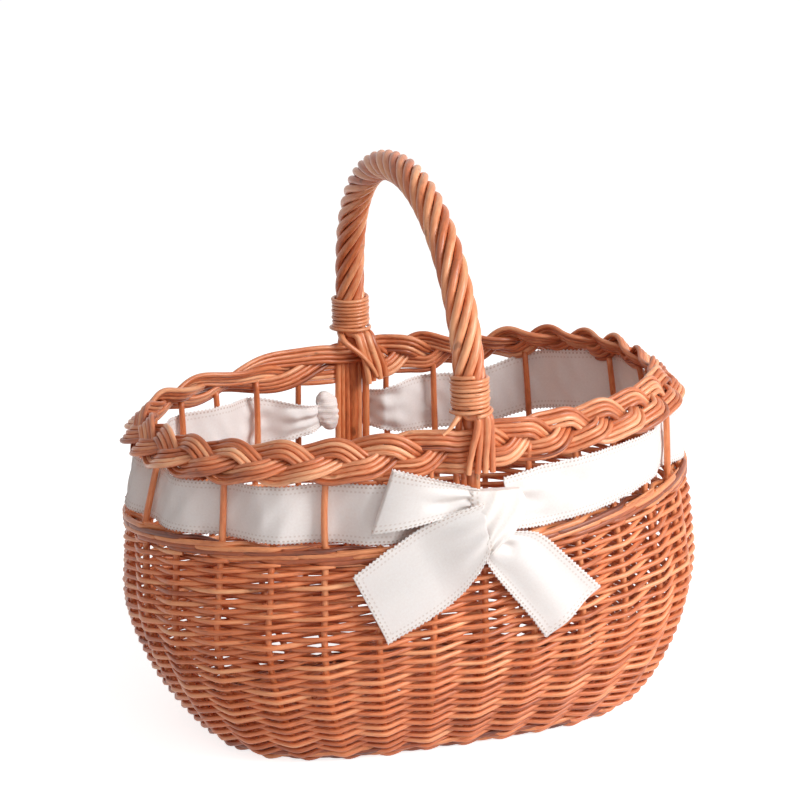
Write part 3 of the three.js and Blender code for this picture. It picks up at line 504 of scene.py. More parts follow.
def paint(red, green, blue):
    """A colour as a painter mixes it, 0 to 255 a channel, turned to the linear values of light."""
    linear = [c / 12.92 if c <= 0.04045 else ((c + 0.055) / 1.055) ** 2.4
              for c in (red / 255, green / 255, blue / 255)]
    return (*linear, 1.0)


# %% [markdown]
# ## Willow
#
# Buff willow is boiled in its bark, which dyes it this orange brown. Each rod has its own tone.
# Along a rod run fine fibres and slow changes of colour, with a darker mark here and there. A
# thin varnish gives it a satin shine.

# %% Willow finishes
# How fast a pattern changes along a rod, round it and from rod to rod, and then its detail.
FIBRES = ((1.6, 14.0, 97.0), 4.0)
SLOW_CHANGE = ((0.22, 1.1, 61.0), 3.0)
DARK_MARKS = ((0.9, 2.0, 43.0), 2.0)
SHADE_PLACES = (0.12, 0.5, 0.86)
MARK_STOPS = [(0.66, (1, 1, 1, 1)), (0.76, (0.45, 0.40, 0.37, 1))]
SLOW_WEIGHT, FIBRE_WEIGHT, MARK_STRENGTH = 0.9, 0.5, 0.8
FIBRE_RELIEF = 0.0006
FIBRE_ROUGHNESS = 0.25


def willow(name, dark, middle, light, rough, spread=0.55):
    """Colour = ramp(tone of the rod + slow noise + fibres); the fibres also raise the surface."""
    finish = Finish(bpy.data.materials.new(name))
    tone = finish.add("ShaderNodeAttribute", {"attribute_name": "tone"}, None, "Fac")
    lay = finish.add("ShaderNodeUVMap", {"uv_map": "lay"}, None, "UV")
    length = finish.add("ShaderNodeSeparateXYZ", None, {0: lay}, 0)
    around = Wire(finish, length.socket.node.outputs[1])

    def noise(pattern):
        """Noise at (length, way round, tone), each times its own rate."""
        (by_length, by_turn, by_tone), detail = pattern
        place = finish.add(
            "ShaderNodeCombineXYZ", None,
            {0: length * by_length, 1: around * by_turn, 2: tone * by_tone})
        return finish.add(
            "ShaderNodeTexNoise", None, {"Vector": place, "Scale": 1.0, "Detail": detail}, "Fac")

    fibres, slow, marks = noise(FIBRES), noise(SLOW_CHANGE), noise(DARK_MARKS)
    shade = (tone - 0.5) * spread + 0.5 + (slow - 0.5) * SLOW_WEIGHT + (fibres - 0.5) * FIBRE_WEIGHT
    stops = [(place, paint(*color)) for place, color in zip(SHADE_PLACES, (dark, middle, light))]
    color = finish.add("ShaderNodeValToRGB", {"stops": stops}, {0: shade})
    spots = finish.add("ShaderNodeValToRGB", {"stops": MARK_STOPS}, {0: marks})
    color = finish.add(
        "ShaderNodeMix", {"data_type": "RGBA", "blend_type": "MULTIPLY"},
        {0: MARK_STRENGTH, 6: color, 7: spots}, 2)
    bump = finish.add(
        "ShaderNodeBump", None, {"Strength": 0.25, "Distance": FIBRE_RELIEF, "Height": fibres})
    shader = finish.add(
        "ShaderNodeBsdfPrincipled", None,
        {"Base Color": color, "Roughness": (fibres - 0.5) * FIBRE_ROUGHNESS + rough,
         "Normal": bump, "Coat Weight": 0.18, "Coat Roughness": 0.28})
    return finish.end(shader)


weave_finish = willow("willow_weave", (150, 70, 36), (230, 134, 84), (250, 184, 134), 0.42, 0.38)
stake_finish = willow("willow_stake", (146, 72, 36), (218, 124, 74), (242, 168, 118), 0.42)
heavy_finish = willow("willow_wale", (100, 42, 20), (180, 92, 50), (236, 154, 102), 0.42, 0.8)
plait_finish = willow("willow_border", (122, 54, 28), (214, 122, 76), (252, 190, 144), 0.38)
handle_finish = willow("willow_handle", (136, 64, 34), (210, 118, 72), (246, 178, 130), 0.36)
cane_finish = willow("willow_cane", (160, 86, 48), (224, 142, 94), (246, 190, 146), 0.28)
print("willow finishes:", len(bpy.data.materials))

# %% [markdown]
# ## The woven side
#
# The side is woven in front of one stake and behind the next. One rod starts at every stake by
# the foot, and all of them climb together, by one row a stake. That is why every stroke of such
# a basket slants up to the right. A rod pulled tight goes nearly straight from stake to stake and
# turns sharply round each, so its wave is the arcsine of a cosine, which lies between a triangle
# and a cosine.

# %% Weavers of the side
ROW_COUNT = 46
WEAVER_R = 1.95
WEAVER_STEPS = 14
WEAVER_SIDES = 7
WEAVER_DIP = 0.4
WALE_LOW = 14.2
FOOT_TOP = 11.0
ROW_PITCH = (SIDE_LENGTH - WALE_LOW - FOOT_TOP) / ROW_COUNT
WAVE_SHARPNESS = 0.975
WANDER_WAVES = np.array([2, 5, 11])
# Stakes before each length of a climbing rod, and stakes along it.
CLIMB_LENGTHS = ((0, 15), (15, 16), (31, 15))
OVERLAP = 0.18
TUCK_DEPTH = 1.6
PIECE_COUNT = 3
dice = np.random.default_rng(20)


def weave_wave(stakes):
    """+1 outside, -1 inside: arcsin(s cos(pi x)) / arcsin(s), where x counts stakes."""
    return np.arcsin(WAVE_SHARPNESS * np.cos(np.pi * stakes)) / math.asin(WAVE_SHARPNESS)


def wander(part, size):
    """A slow drift of each row of parts: three sines of whole waves, with chance phases."""
    phases = dice.random((len(part), 1, len(WANDER_WAVES))) * 2 * np.pi
    waves = np.sin(2 * np.pi * part[..., None] * WANDER_WAVES + phases)
    return size * waves.sum(-1) / len(WANDER_WAVES)


def lay_side(rods, first, count):
    """A rod starts at a stake by the foot and climbs by one row a stake, up to the wale.

    Where it is outside, its neighbours above and below are inside. It is three lengths of willow,
    which meet behind a stake, a little further in."""
    start = first + np.arange(count)[:, None]
    for stakes_before, stakes_long in CLIMB_LENGTHS:
        share = np.linspace(0, 1, stakes_long * WEAVER_STEPS + 1)
        climbed = stakes_before + share * (stakes_long + 2 * OVERLAP) - OVERLAP
        part = (start + climbed) / STAKE_COUNT
        drift = wander(part, 0.3)
        wave = weave_wave(2 * start + climbed)
        rise = (FOOT_TOP + climbed * ROW_PITCH + drift - WEAVER_DIP * wave) / SIDE_LENGTH
        near_start, near_end = 1 - 2 * stakes_long * share, 1 - 2 * stakes_long * (1 - share)
        tucked = TUCK_DEPTH * (smooth(near_start) + smooth(near_end))
        swing = STAKE_D / 2 + WEAVER_R + wander(part, 0.2)
        paths = side.at(part, rise, swing * wave - tucked)
        thick = WEAVER_R * dice.uniform(0.94, 1.08, (count, 1))
        taper = mix(1.04, 0.86, share)[None]
        flip = dice.random((count, 1)) < 0.5
        radii = thick * np.where(flip, taper, taper[:, ::-1])
        rods.lay(paths, radii, dice.random(count), WEAVER_SIDES)


for number in range(PIECE_COUNT):
    rods = Rods()
    count = STAKE_COUNT // PIECE_COUNT
    lay_side(rods, number * count, count)
    rods.write(f"side_rods_{number + 1}", weave_finish, "willow_weave", "wall_weave")
print("rows of weave:", ROW_COUNT, "pitch", round(ROW_PITCH, 2), "mm")

# %% Stakes of the side, which the weavers go round
STAKE_STEPS = 60
STAKE_BOTTOM = 0.03


def lay_side_stakes():
    """A rod up the side's surface at each stake's place, from the foot to the wale's top."""
    rods = Rods()
    part = np.arange(STAKE_COUNT)[:, None] / STAKE_COUNT
    rise = np.linspace(STAKE_BOTTOM, 1, STAKE_STEPS)[None]
    bend = wander(np.repeat(rise, STAKE_COUNT, 0), 0.6)
    paths = side.at(part + bend / top_oval.perimeter, rise)
    rods.lay(paths, STAKE_D / 2, dice.uniform(0.3, 0.9, STAKE_COUNT), 8)
    return rods.write("side_stakes", stake_finish, "willow_stake", "wall_weave")


lay_side_stakes()

# %% [markdown]
# ## Waling: the heavy rings at the top and at the foot
#
# A wale is three rods worked together. Each passes outside two stakes and inside one, over the
# other two, so the outside shows long strokes that rise to the right, like a laid rope.

# %% Wale strokes
WALE_ROD_R = 2.15
WALE_LOWEST = -9.2
WALE_PITCH = 4.9
WALE_SHIFTS = (0.3, 1.7)
WALE_SWING = 4.4
WALE_CLIMB = 2.2
WALE_STEPS = 16
WALE_SIDES = 9
LAY_STAKES = 3
OUT_SHARE = 2 / 3


def wale_stroke(turn):
    """In and out, and up and down, of a waling rod at a share of its three-stake turn.

    It is out for the first two thirds, rising from below its neighbours to above them, and in
    for the last third, where it falls back. Out = sin(quarter turn x a cosine cut off at 1)."""
    t = np.mod(turn, 1)
    out = np.clip(1.7 * np.cos(2 * np.pi * (t - 1 / 3)) + 0.75, -1, 1)
    out = np.sin(out * np.pi / 2)
    up = np.where(t < OUT_SHARE, -np.cos(np.pi * t * 1.5), np.cos(np.pi * (t * 3 - 2)))
    return out, up


def wale_round(rods, level, place_at, swing, climb, radius, shift):
    """Three closed rods, a third of a turn apart. place_at gives a point for part, out and up."""
    part = np.arange(STAKE_COUNT * WALE_STEPS) / (STAKE_COUNT * WALE_STEPS)
    for strand in range(LAY_STAKES):
        turn = part * STAKE_COUNT / LAY_STAKES + (strand + shift) / LAY_STAKES
        out, up = wale_stroke(turn)
        drift = wander(part[None], 0.3)[0]
        path = place_at(part, swing * out, level + climb * up + drift)
        rods.lay(path, radius, dice.uniform(0.1, 0.95), WALE_SIDES, closed=True)


def place_by_top(part, out, height):
    """A point beside the body's top oval, at a height measured from the body's top edge."""
    plan = top_oval.share(part, out)
    level = body_top(*np.moveaxis(top_oval.share(part), -1, 0))
    return np.concatenate([plan, (level + height)[..., None]], -1)


# %% The top wale, with the tips of rods that end in it
TIP_COUNT = 11
TIP_STEPS = 14
TIP_LONG = (24, 44)
TIP_CLIMB = (3.0, 6.5)
TIP_SUNK = 3.5


def lay_top_wale():
    """Two rounds. A tip lifts off with a power of its length, and thins from 1.9 to 0.6 mm."""
    rods = Rods()
    for number, shift in enumerate(WALE_SHIFTS):
        level = WALE_LOWEST + WALE_PITCH * number
        wale_round(rods, level, place_by_top, WALE_SWING, WALE_CLIMB, WALE_ROD_R, shift)
    start = (dice.permutation(STAKE_COUNT)[:TIP_COUNT, None] + 0.2) / STAKE_COUNT
    along = np.linspace(0, 1, TIP_STEPS)
    part = start + along * dice.uniform(*TIP_LONG, (TIP_COUNT, 1)) / top_oval.perimeter
    climb = dice.uniform(*TIP_CLIMB, (TIP_COUNT, 1)) * along**1.5 - TIP_SUNK
    out = np.repeat(WALE_SWING - 0.6 + 1.8 * along[None] ** 2, TIP_COUNT, 0)
    tips = place_by_top(part, out, climb)
    rods.lay(tips, mix(1.9, 0.6, along)[None], dice.uniform(0.4, 1, TIP_COUNT), 7)
    return rods.write("wale_rods", heavy_finish, "willow_wale", "wale_ring")


lay_top_wale()

# %% Foot: three rounds that lean out under the side
floor_oval = wall_oval(0)
# Each round's place outside the floor's oval, its height and its rods' radius.
FOOT_ROUNDS = ((1.5, 2.7, 2.3), (7.4, 5.4, 2.2), (12.6, 8.8, 2.1))
FOOT_SWING = 3.4
FOOT_CLIMB = 1.5
FOOT_SHIFT = 0.7
OFF_FLOOR = 0.1


def lay_foot():
    """Each round lies further out and higher than the last. The first stands on the floor."""
    rods = Rods()
    for number, (offset, height, radius) in enumerate(FOOT_ROUNDS):

        def place(part, out, level):
            """A point at most as low as the rod's own radius."""
            held = np.maximum(level, radius + OFF_FLOOR)
            return np.column_stack([floor_oval.share(part, out + offset), held])

        climb = FOOT_CLIMB if number else 0.0
        wale_round(rods, height, place, FOOT_SWING, climb, radius, number * FOOT_SHIFT)
    return rods.write("foot_rods", heavy_finish, "willow_foot", "foot_ring")


lay_foot()

# %% [markdown]
# ## The base
#
# The photograph doesn't show the base. Such a basket has an oval one: short sticks cross long
# ones in the middle, and thin weavers go round them until they meet the stakes. The rings of
# weave are ovals that shrink to a short line, so that the middle isn't a point.

# %% Base rings and sticks
BASE_LINE = 58.0
BASE_MIDDLE_Z = 5.0
BASE_DOME = 5.0
BASE_INSET = 3.0
BASE_SHARES = (0.16, 0.985)
BASE_ROW_PITCH = 3.1
BASE_SWING = 2.1
BASE_WEAVER_R = 1.75
BASE_STICK_R = 2.0
SHORT_STICKS, SHORT_HALF, SHORT_LIFT = 9, 15.0, 1.5
LONG_STICKS, LONG_PAST, LONG_LIFT = (-4.4, 0.0, 4.4), 8.0, -1.8


def base_point(part, share, lift):
    """Between the middle line and the floor's oval: x = mix(line x, edge x), y = share of edge y.

    The dome is a parabola of the share."""
    edge = floor_oval.share(part, -BASE_INSET)
    line_x = BASE_LINE * np.clip(edge[..., 0] / BASE_LINE / 1.6, -1, 1)
    x = mix(line_x, edge[..., 0], share)
    height = BASE_MIDDLE_Z + BASE_DOME * (1 - share**2) + lift
    return np.stack([x, edge[..., 1] * share, height], -1)


def lay_base():
    """Closed rings at even shares. Each waves up and down over the sticks, against the last one."""
    rods = Rods()
    inner, outer = BASE_SHARES
    row_count = round((FLOOR_SIZE[1] - BASE_INSET) * (1 - inner) / BASE_ROW_PITCH)
    shares = mix(inner, outer, np.arange(row_count) / (row_count - 1))
    part = np.arange(STAKE_COUNT * 8) / (STAKE_COUNT * 8)
    for k, share in enumerate(shares):
        lift = BASE_SWING * weave_wave(part * STAKE_COUNT + k)
        rods.lay(base_point(part, share, lift), BASE_WEAVER_R, dice.random(), 6, closed=True)
    return rods.write("base_rods", weave_finish, "willow_weave", "base_weave")


def lay_base_sticks():
    """One stick out to each stake, short ones across the middle and long ones along it."""
    rods = Rods()
    part = np.arange(STAKE_COUNT)[:, None] / STAKE_COUNT
    share = np.linspace(0.02, 1.0, 20)[None]
    spokes = base_point(part + 0 * share, share + 0 * part, 0.0)
    rods.lay(spokes, BASE_STICK_R, dice.random(STAKE_COUNT), 7)
    along = np.linspace(-1, 1, 12)
    level = BASE_MIDDLE_Z + BASE_DOME + 0 * along
    for x in np.linspace(-BASE_LINE, BASE_LINE, SHORT_STICKS):
        line = np.column_stack([x + 0 * along, along * SHORT_HALF, level + SHORT_LIFT])
        rods.lay(line, BASE_STICK_R, dice.random(), 7)
    for y in LONG_STICKS:
        line = np.column_stack([along * (BASE_LINE + LONG_PAST), y + 0 * along, level + LONG_LIFT])
        rods.lay(line, BASE_STICK_R, dice.random(), 7)
    return rods.write("base_sticks", stake_finish, "willow_weave", "base_weave")


lay_base()
lay_base_sticks()

# %% [markdown]
# ## Open stakes between the wale and the border
#
# Above the wale the stakes stand bare, like a fence. Each is a separate rod with a slight bend,
# and its top goes into the plait.

# %% Fence stakes
def fence(part, height, offset=0.0):
    """From the body's top oval to the border's, straight between them at a height."""
    low, high = top_oval.share(part, offset), border_oval.share(part, offset)
    low_z = body_top(*np.moveaxis(top_oval.share(part), -1, 0))
    high_z = border_middle(border_oval.share(part)[..., 0]) - PLAIT_HEIGHT / 2
    t = ((height - low_z) / (high_z - low_z))[..., None]
    return np.concatenate([mix(low, high, t), np.asarray(height, float)[..., None]], -1)


def lay_fence_stakes():
    """Straight from 12 mm under the body's top to 4 mm under the border's middle, with half a
    sine of lean and bow. The handle's feet stand where stakes 0 and 15 would."""
    t = np.linspace(0, 1, 14)
    for number in range(1, STAKE_COUNT):
        if number == STAKE_COUNT // 2:
            continue
        share = number / STAKE_COUNT
        low = body_top(*top_oval.share(share)) - 12
        high = border_middle(border_oval.share(share)[0]) - 4
        lean, bow_out = dice.normal(0, 0.9), dice.normal(0, 0.2)
        aside = lean * np.sin(np.pi * t) + dice.normal(0, 0.5) * t
        part = share + aside / top_oval.perimeter
        path = fence(part, mix(low, high, t), bow_out * np.sin(np.pi * t))
        rods = Rods()
        rods.lay(path, STAKE_D / 2 * mix(1.04, 0.92, t), dice.uniform(0.2, 0.9), 10)
        rods.write(f"fence_stake_{number:02d}", stake_finish, "willow_stake", f"stake_{number:02d}")


lay_fence_stakes()

# %% [markdown]
# ## The plaited border
#
# Three strands of willow are plaited over the tops of the stakes. A strand goes from edge to edge
# of the plait and back once a turn, and over and under twice, a third of a turn after its
# neighbour: that is the formula of a three-strand plait. The plait leans in at its top, so that
# its broad face looks out and up. Where the handle's feet go through, it stands upright, and the
# strands run straight and leave a slot.

# %% The plait's path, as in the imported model
RIGHT_TURNS = 5
LEFT_TURNS = 4
# On the left half the plait is slack at the back and close at the front.
SLACK_RATE = 0.65
CLOSE_RATE = 1.35
# From this share of the left half it begins to close up, and this fast.
CLOSE_FROM = 0.12
CLOSE_FAST = 2.8
PLAIT_POINTS = 4001
PLAIT_SWING = 6.0
PLAIT_START = 0.75
PLAIT_TILT = 0.75
PLAIT_TILT_EASE = 80.0
HANDLE_SKEW = 9.0
FIT = 0.3
CORE_FOOT_R = 2.4
ROD_FOOT_R = 2.25
FAN_PITCH = 5.5
PASS_OFFSET = CORE_FOOT_R + FIT + 2.15
PASS_HALF = 2 * ROD_FOOT_R + CORE_FOOT_R + 2 * FIT
PASS_EASE = 12.0
UPRIGHT_HALF = 2 * FAN_PITCH + ROD_FOOT_R + FIT + 12.0
FRONT_PASS = -HANDLE_SKEW
BACK_PASS = border_oval.perimeter / 2 - HANDLE_SKEW


def distance_to_pass(length):
    """How far a length along the border is from the nearer of the two handle feet."""
    whole = border_oval.perimeter
    gaps = [np.mod(length - place, whole) for place in (FRONT_PASS, BACK_PASS)]
    return np.minimum(*[np.minimum(gap, whole - gap) for gap in gaps])


def turns_so_far(rate, turns):
    """The running sum of a rate, scaled to end at a whole number of turns."""
    done = np.cumsum(rate)
    return done / done[-1] * turns


plait_lengths = np.linspace(0, border_oval.perimeter, PLAIT_POINTS)
beside_slots = smooth((distance_to_pass(FRONT_PASS + plait_lengths) - PASS_HALF) / PASS_EASE)
left_share = plait_lengths / border_oval.perimeter * 2 - 1
left_rate = mix(SLACK_RATE, CLOSE_RATE, smooth((left_share - CLOSE_FROM) * CLOSE_FAST))
plait_rate = beside_slots * np.where(left_share < 0, 1, left_rate)
right_done = turns_so_far(plait_rate[left_share < 0], RIGHT_TURNS)
left_done = RIGHT_TURNS + turns_so_far(plait_rate[left_share >= 0], LEFT_TURNS)
plait_done = np.concatenate([right_done, left_done])


def plait_tilt(length):
    """Upright beside the handle's feet, and leaning in at the top away from them."""
    return PLAIT_TILT * smooth((distance_to_pass(length) - UPRIGHT_HALF) / PLAIT_TILT_EASE)


# %% Strands as they lie
STRAND_SWING = 4.2
STRAND_REACH = 9.4
# The plait sits a little further in at the right end, and higher at the back right.
RIGHT_PULL = 4.5
BACK_LIFT = 6.0
BACK_FLATTER = 0.18


def at_back_right(x, y):
    """1 at the back right of the basket, and 0 at the front and on the left."""
    return smooth((x - 90) / 80) * smooth((y + 10) / 60)


def strand_path(strand, from_pass):
    """Across the plait = sin(quarter turn sin(phase)), which is flat at the edges, and through it
    = -sin(2 phase). Then both are turned by the tilt."""
    whole = border_oval.perimeter
    done = np.interp(np.mod(from_pass, whole), plait_lengths, plait_done)
    turns = done + np.floor(from_pass / whole) * plait_done[-1]
    phase = 2 * np.pi * (turns + strand / 3 + PLAIT_START)
    length = FRONT_PASS + from_pass
    held = 1 - smooth((distance_to_pass(length) - PASS_HALF) / PASS_EASE)
    x, y = np.moveaxis(border_oval.on(length), -1, 0)
    reach = STRAND_REACH * (1 - BACK_FLATTER * at_back_right(x, y))
    across = reach * np.sin(np.pi / 2 * np.sin(phase))
    through = -STRAND_SWING * np.sin(2 * phase)
    through = mix(through, (-1 if strand == 1 else 1) * PASS_OFFSET, held)
    tilt = plait_tilt(length)
    out = through * np.cos(tilt) - across * np.sin(tilt)
    rise = through * np.sin(tilt) + across * np.cos(tilt)
    height = border_middle(x) + rise + BACK_LIFT * at_back_right(x, y)
    out = out - RIGHT_PULL * smooth((x - 110) / 80)
    return np.concatenate([border_oval.at(length, out), height[..., None]], -1)


# %% Border rods
BORDER_STEPS = 900
STRAND_RODS = ((4, 1.98), (4, 1.92), (4, 2.02))
ROD_NESTING = 1.96
ROD_DRIFT = 0.5


def lay_border():
    """A strand's rods lie side by side, square to its path and to where the plait's face looks."""
    whole = border_oval.perimeter
    from_pass = np.arange(BORDER_STEPS) / BORDER_STEPS * whole
    part = (from_pass / whole)[None]
    length = FRONT_PASS + from_pass
    tilt = plait_tilt(length)[:, None]
    plan = border_oval.at(length, 1.0) - border_oval.on(length)
    face = np.concatenate([plan * np.cos(tilt), np.sin(tilt)], 1)
    for strand, (rod_count, radius) in enumerate(STRAND_RODS):
        rods = Rods()
        middle = strand_path(strand, from_pass)
        along = unit(strand_path(strand, from_pass + 1) - strand_path(strand, from_pass - 1))
        out = unit(face - along * np.sum(face * along, -1, keepdims=True))
        beside = np.cross(out, along)
        for place in np.arange(rod_count) - (rod_count - 1) / 2:
            shift = place * radius * ROD_NESTING + wander(part, ROD_DRIFT)[0]
            depth = wander(part, ROD_DRIFT)[0]
            path = middle + beside * shift[:, None] + out * depth[:, None]
            rods.lay(path, radius, dice.uniform(0.2, 0.95), 9, closed=True)
        node = f"border_strand_{strand + 1}"
        rods.write(f"border_rods_{strand + 1}", plait_finish, "willow_border", node)


lay_border()

# %% [markdown]
# ## The roped handle
#
# A bent core rod runs from foot to foot. Seven thinner rods are wound round it four times, so
# they climb the arch like a rope. At each end they are bound with cane. Below the binding some
# fan out over the border, and the others go down through it beside the core.

# %% The handle's arch
HANDLE_OUTSET = 2.0
HANDLE_RISE = 146.0
SIDE_ROUNDNESS = 2.11
CROWN_ROUNDNESS = 2.35
BINDING_BOTTOM = BORDER_HEIGHT + PLAIT_HEIGHT / 2 + 8.0
HANDLE_SPRING = BINDING_BOTTOM + 7.0
HANDLE_HALF_SPAN = BORDER_SIZE[1] + HANDLE_OUTSET
ROD_COUNT = 7
HALF_RODS = 3
FAN_EACH_SIDE = 2
ROPING_D = 5.9
ROPING_GAP = 1.4
LAY_RADIUS = (ROPING_D + ROPING_GAP) / (2 * math.sin(math.pi / ROD_COUNT))
HANDLE_ROD_R = 3.15
CROWN_LEAN = 5.0


def make_arch():
    """y = sign |sin|^(2/side roundness), z = cos^(2/crown roundness), with short uprights below."""
    angle = np.linspace(-0.5 * np.pi, 0.5 * np.pi, 401)
    sine, cosine = np.sin(angle), np.clip(np.cos(angle), 0, None)
    y = HANDLE_HALF_SPAN * np.sign(sine) * np.abs(sine) ** (2 / SIDE_ROUNDNESS)
    z = HANDLE_SPRING + HANDLE_RISE * cosine ** (2 / CROWN_ROUNDNESS)
    foot_z = BINDING_BOTTOM - FIT
    y = np.concatenate([[-HANDLE_HALF_SPAN], y, [HANDLE_HALF_SPAN]])
    z = np.concatenate([[foot_z], z, [foot_z]])
    return y, z, running(np.hypot(np.diff(y), np.diff(z)))


arch_y, arch_z, arch_lengths = make_arch()
ARCH_LENGTH = arch_lengths[-1]
print("length of the arch:", round(ARCH_LENGTH), "mm")


def arch_point(length):
    """A point of the arch's axis by its length from the front end. x follows y, for the skew.

    The crown leans a little to the left."""
    y = np.interp(length, arch_lengths, arch_y)
    z = np.interp(length, arch_lengths, arch_z)
    lean = CROWN_LEAN * smooth((z - HANDLE_SPRING) / HANDLE_RISE)
    return np.stack([HANDLE_SKEW * y / HANDLE_HALF_SPAN - lean, y, z], -1)


ARCH_REACH = 3.0


def beside_arch(length, angle, radius):
    """axis + radius (cos angle x outward + sin angle x across)."""
    low = np.clip(length - ARCH_REACH, 0, ARCH_LENGTH - 2 * ARCH_REACH)
    along = arch_point(low + 2 * ARCH_REACH) - arch_point(low)
    across = unit(np.array([HANDLE_HALF_SPAN, -HANDLE_SKEW, 0.0]))
    out = unit(np.cross(across, along))
    turn = np.asarray(angle)[..., None]
    return arch_point(length) + radius * (np.cos(turn) * out + np.sin(turn) * across)


def rounded(points, rounds=4):
    """Cuts every corner at a quarter and three quarters of its sides, and again, to a curve."""
    points = np.asarray(points, float)
    for _ in range(rounds):
        a, b = points[:-1], points[1:]
        cut = np.stack([0.75 * a + 0.25 * b, 0.25 * a + 0.75 * b], 1).reshape(-1, 3)
        points = np.concatenate([points[:1], cut, points[-1:]])
    return points


# %% Feet of the handle
FRONT_FOOT, BACK_FOOT = -1, 1


class Foot:
    """Where the handle meets the border and the body, at the front or at the back."""

    def __init__(self, sign):
        self.pass_length = FRONT_PASS if sign < 0 else BACK_PASS
        self.border = border_oval.at(self.pass_length)
        self.body = top_oval.share(self.pass_length / border_oval.perimeter)
        self.middle = border_middle(self.border[0])
        self.top = body_top(*self.body)


feet = {sign: Foot(sign) for sign in (FRONT_FOOT, BACK_FOOT)}
# At the front the fan comes out under the right half of the binding and spreads to both sides.
# Its leftmost rod is short and is bent away. At the back the fan leans right, and a thin rod
# crosses in front of it.
FAN_TOPS = {-1: 1.5, 0: 5.0, 1: 8.0, 2: 11.0}
FAN_ENDS = {-1: -5.6, 0: 1.6, 1: 7.4, 2: 13.0}
BACK_FAN_TOPS = {-2: -12.0, -1: 1.5, 0: 5.5, 1: 9.5, 2: 13.0}
BACK_FAN_ENDS = {-2: 12.0, -1: 9.0, 0: 13.5, 1: 18.5, 2: 24.0}
FIRST_SLOT = ROD_FOOT_R + CORE_FOOT_R + FIT
SLOT_PITCH = 4.8
IN_WALL = 8.0
NEAR_FACE = PLAIT_SWING + 2.5 + ROD_FOOT_R
# The front's short rod, from the binding's lower edge: to the right, back and up.
BENT_AWAY = ((-10, -5, 2), (-15, -8, -2), (-20, -9, -7), (-25, -9.5, -10))


def slot_path(foot, axis, place):
    """From the roping into the slot, then straight down through the plait and into the wall."""
    angle = 2 * np.pi * place / ROD_COUNT
    aside = np.sign(place) * (FIRST_SLOT + (HALF_RODS - abs(place)) * SLOT_PITCH)
    end_x = foot.border[0] + aside
    wound = axis + LAY_RADIUS * np.array([math.sin(angle), -math.cos(angle), 0])
    start = np.array([*wound[:2], BINDING_BOTTOM - FIT])
    over = np.array([end_x, foot.border[1], foot.middle + 12])
    return np.vstack([
        mix(start, over, np.array([[0.3], [0.7], [1.0]])),
        [end_x, foot.border[1], foot.middle - PLAIT_HEIGHT / 2],
        [foot.body[0] + end_x - foot.border[0], foot.body[1], foot.top - IN_WALL]])


def front_fan(foot, axis, place):
    """From under the binding over the plait's near face. Every second rod lies a layer nearer."""
    high, near, layer = BINDING_BOTTOM - FIT, foot.border[1] - NEAR_FACE, 2.2 * (place % 2)
    if place == -FAN_EACH_SIDE:
        return np.array([*axis[:2], high]) + BENT_AWAY
    top_x, end_x = axis[0] + FAN_TOPS[place], foot.border[0] + FAN_ENDS[place]
    x = mix(top_x, end_x, np.array([0, 0.2, 0.55, 0.85, 1]))
    y = [axis[1] - 9.5 - layer, near - layer - 1, near - layer * 0.6 - 0.8, near, near + 0.4]
    low = foot.middle - PLAIT_HEIGHT / 2
    z = [high + 1, high - 10, foot.middle + 5, foot.middle - 8, low - 1]
    return np.column_stack([x, y, z])


def back_fan(foot, axis, place):
    """The same at the back, where one thin rod lies in front of the others and crosses them."""
    high, near, layer = BINDING_BOTTOM - FIT, foot.border[1] - NEAR_FACE, 1.8 * (place % 2)
    top_x, end_x = foot.border[0] + BACK_FAN_TOPS[place], foot.border[0] + BACK_FAN_ENDS[place]
    if place == -FAN_EACH_SIDE:
        x = [axis[0] - 11, top_x, mix(top_x, end_x, 0.6), end_x, end_x + 3]
        y = [axis[1] - 6, near - 3, near - 5, near - 4.5, near - 3.5]
        z = [high, high - 5, foot.middle + 7, foot.middle - 5, foot.middle - 12]
        return np.column_stack([x, y, z])
    low = foot.middle - 13 - 1.5 * (2 - place)
    x = mix(top_x, end_x, np.array([0, 0.12, 0.5, 0.9, 1]))
    y = np.array([axis[1] - 9, near, near, near, near]) - layer
    return np.column_stack([x, y, [high - 1, high - 9, foot.middle + 5, low + 9, low]])


def foot_path(sign, place):
    """Points of one roping rod below the binding, downwards."""
    axis = arch_point(0.0 if sign < 0 else ARCH_LENGTH)
    fan = front_fan if sign < 0 else back_fan
    path = fan if abs(place) <= FAN_EACH_SIDE else slot_path
    return path(feet[sign], axis, place)


def centred(place):
    """The same place counted to both sides of the front one."""
    return (place + HALF_RODS) % ROD_COUNT - HALF_RODS


# %% Roping rods and core
PLACE_ANGLE = 2 * math.pi / ROD_COUNT
LAY_SHIFT = round((4 * 2 * math.pi - math.pi) / PLACE_ANGLE)
LAY_TWIST = math.pi + LAY_SHIFT * PLACE_ANGLE
BINDING_LENGTH = 7 * 3.8 + 3.1 + FIT
ROPING_STEPS = 220
BACK_FOOT_R = 2.4
SHORT_ROD_R = 1.3
CROSSING_ROD_R = 1.7
# Rods that only line the slots of the feet: foot, place beside the core, and radius.
LINERS = (
    (FRONT_FOOT, -11.2, 2.3), (BACK_FOOT, -13.0, 2.4),
    (BACK_FOOT, -9.0, 2.0), (BACK_FOOT, 10.6, 2.9))


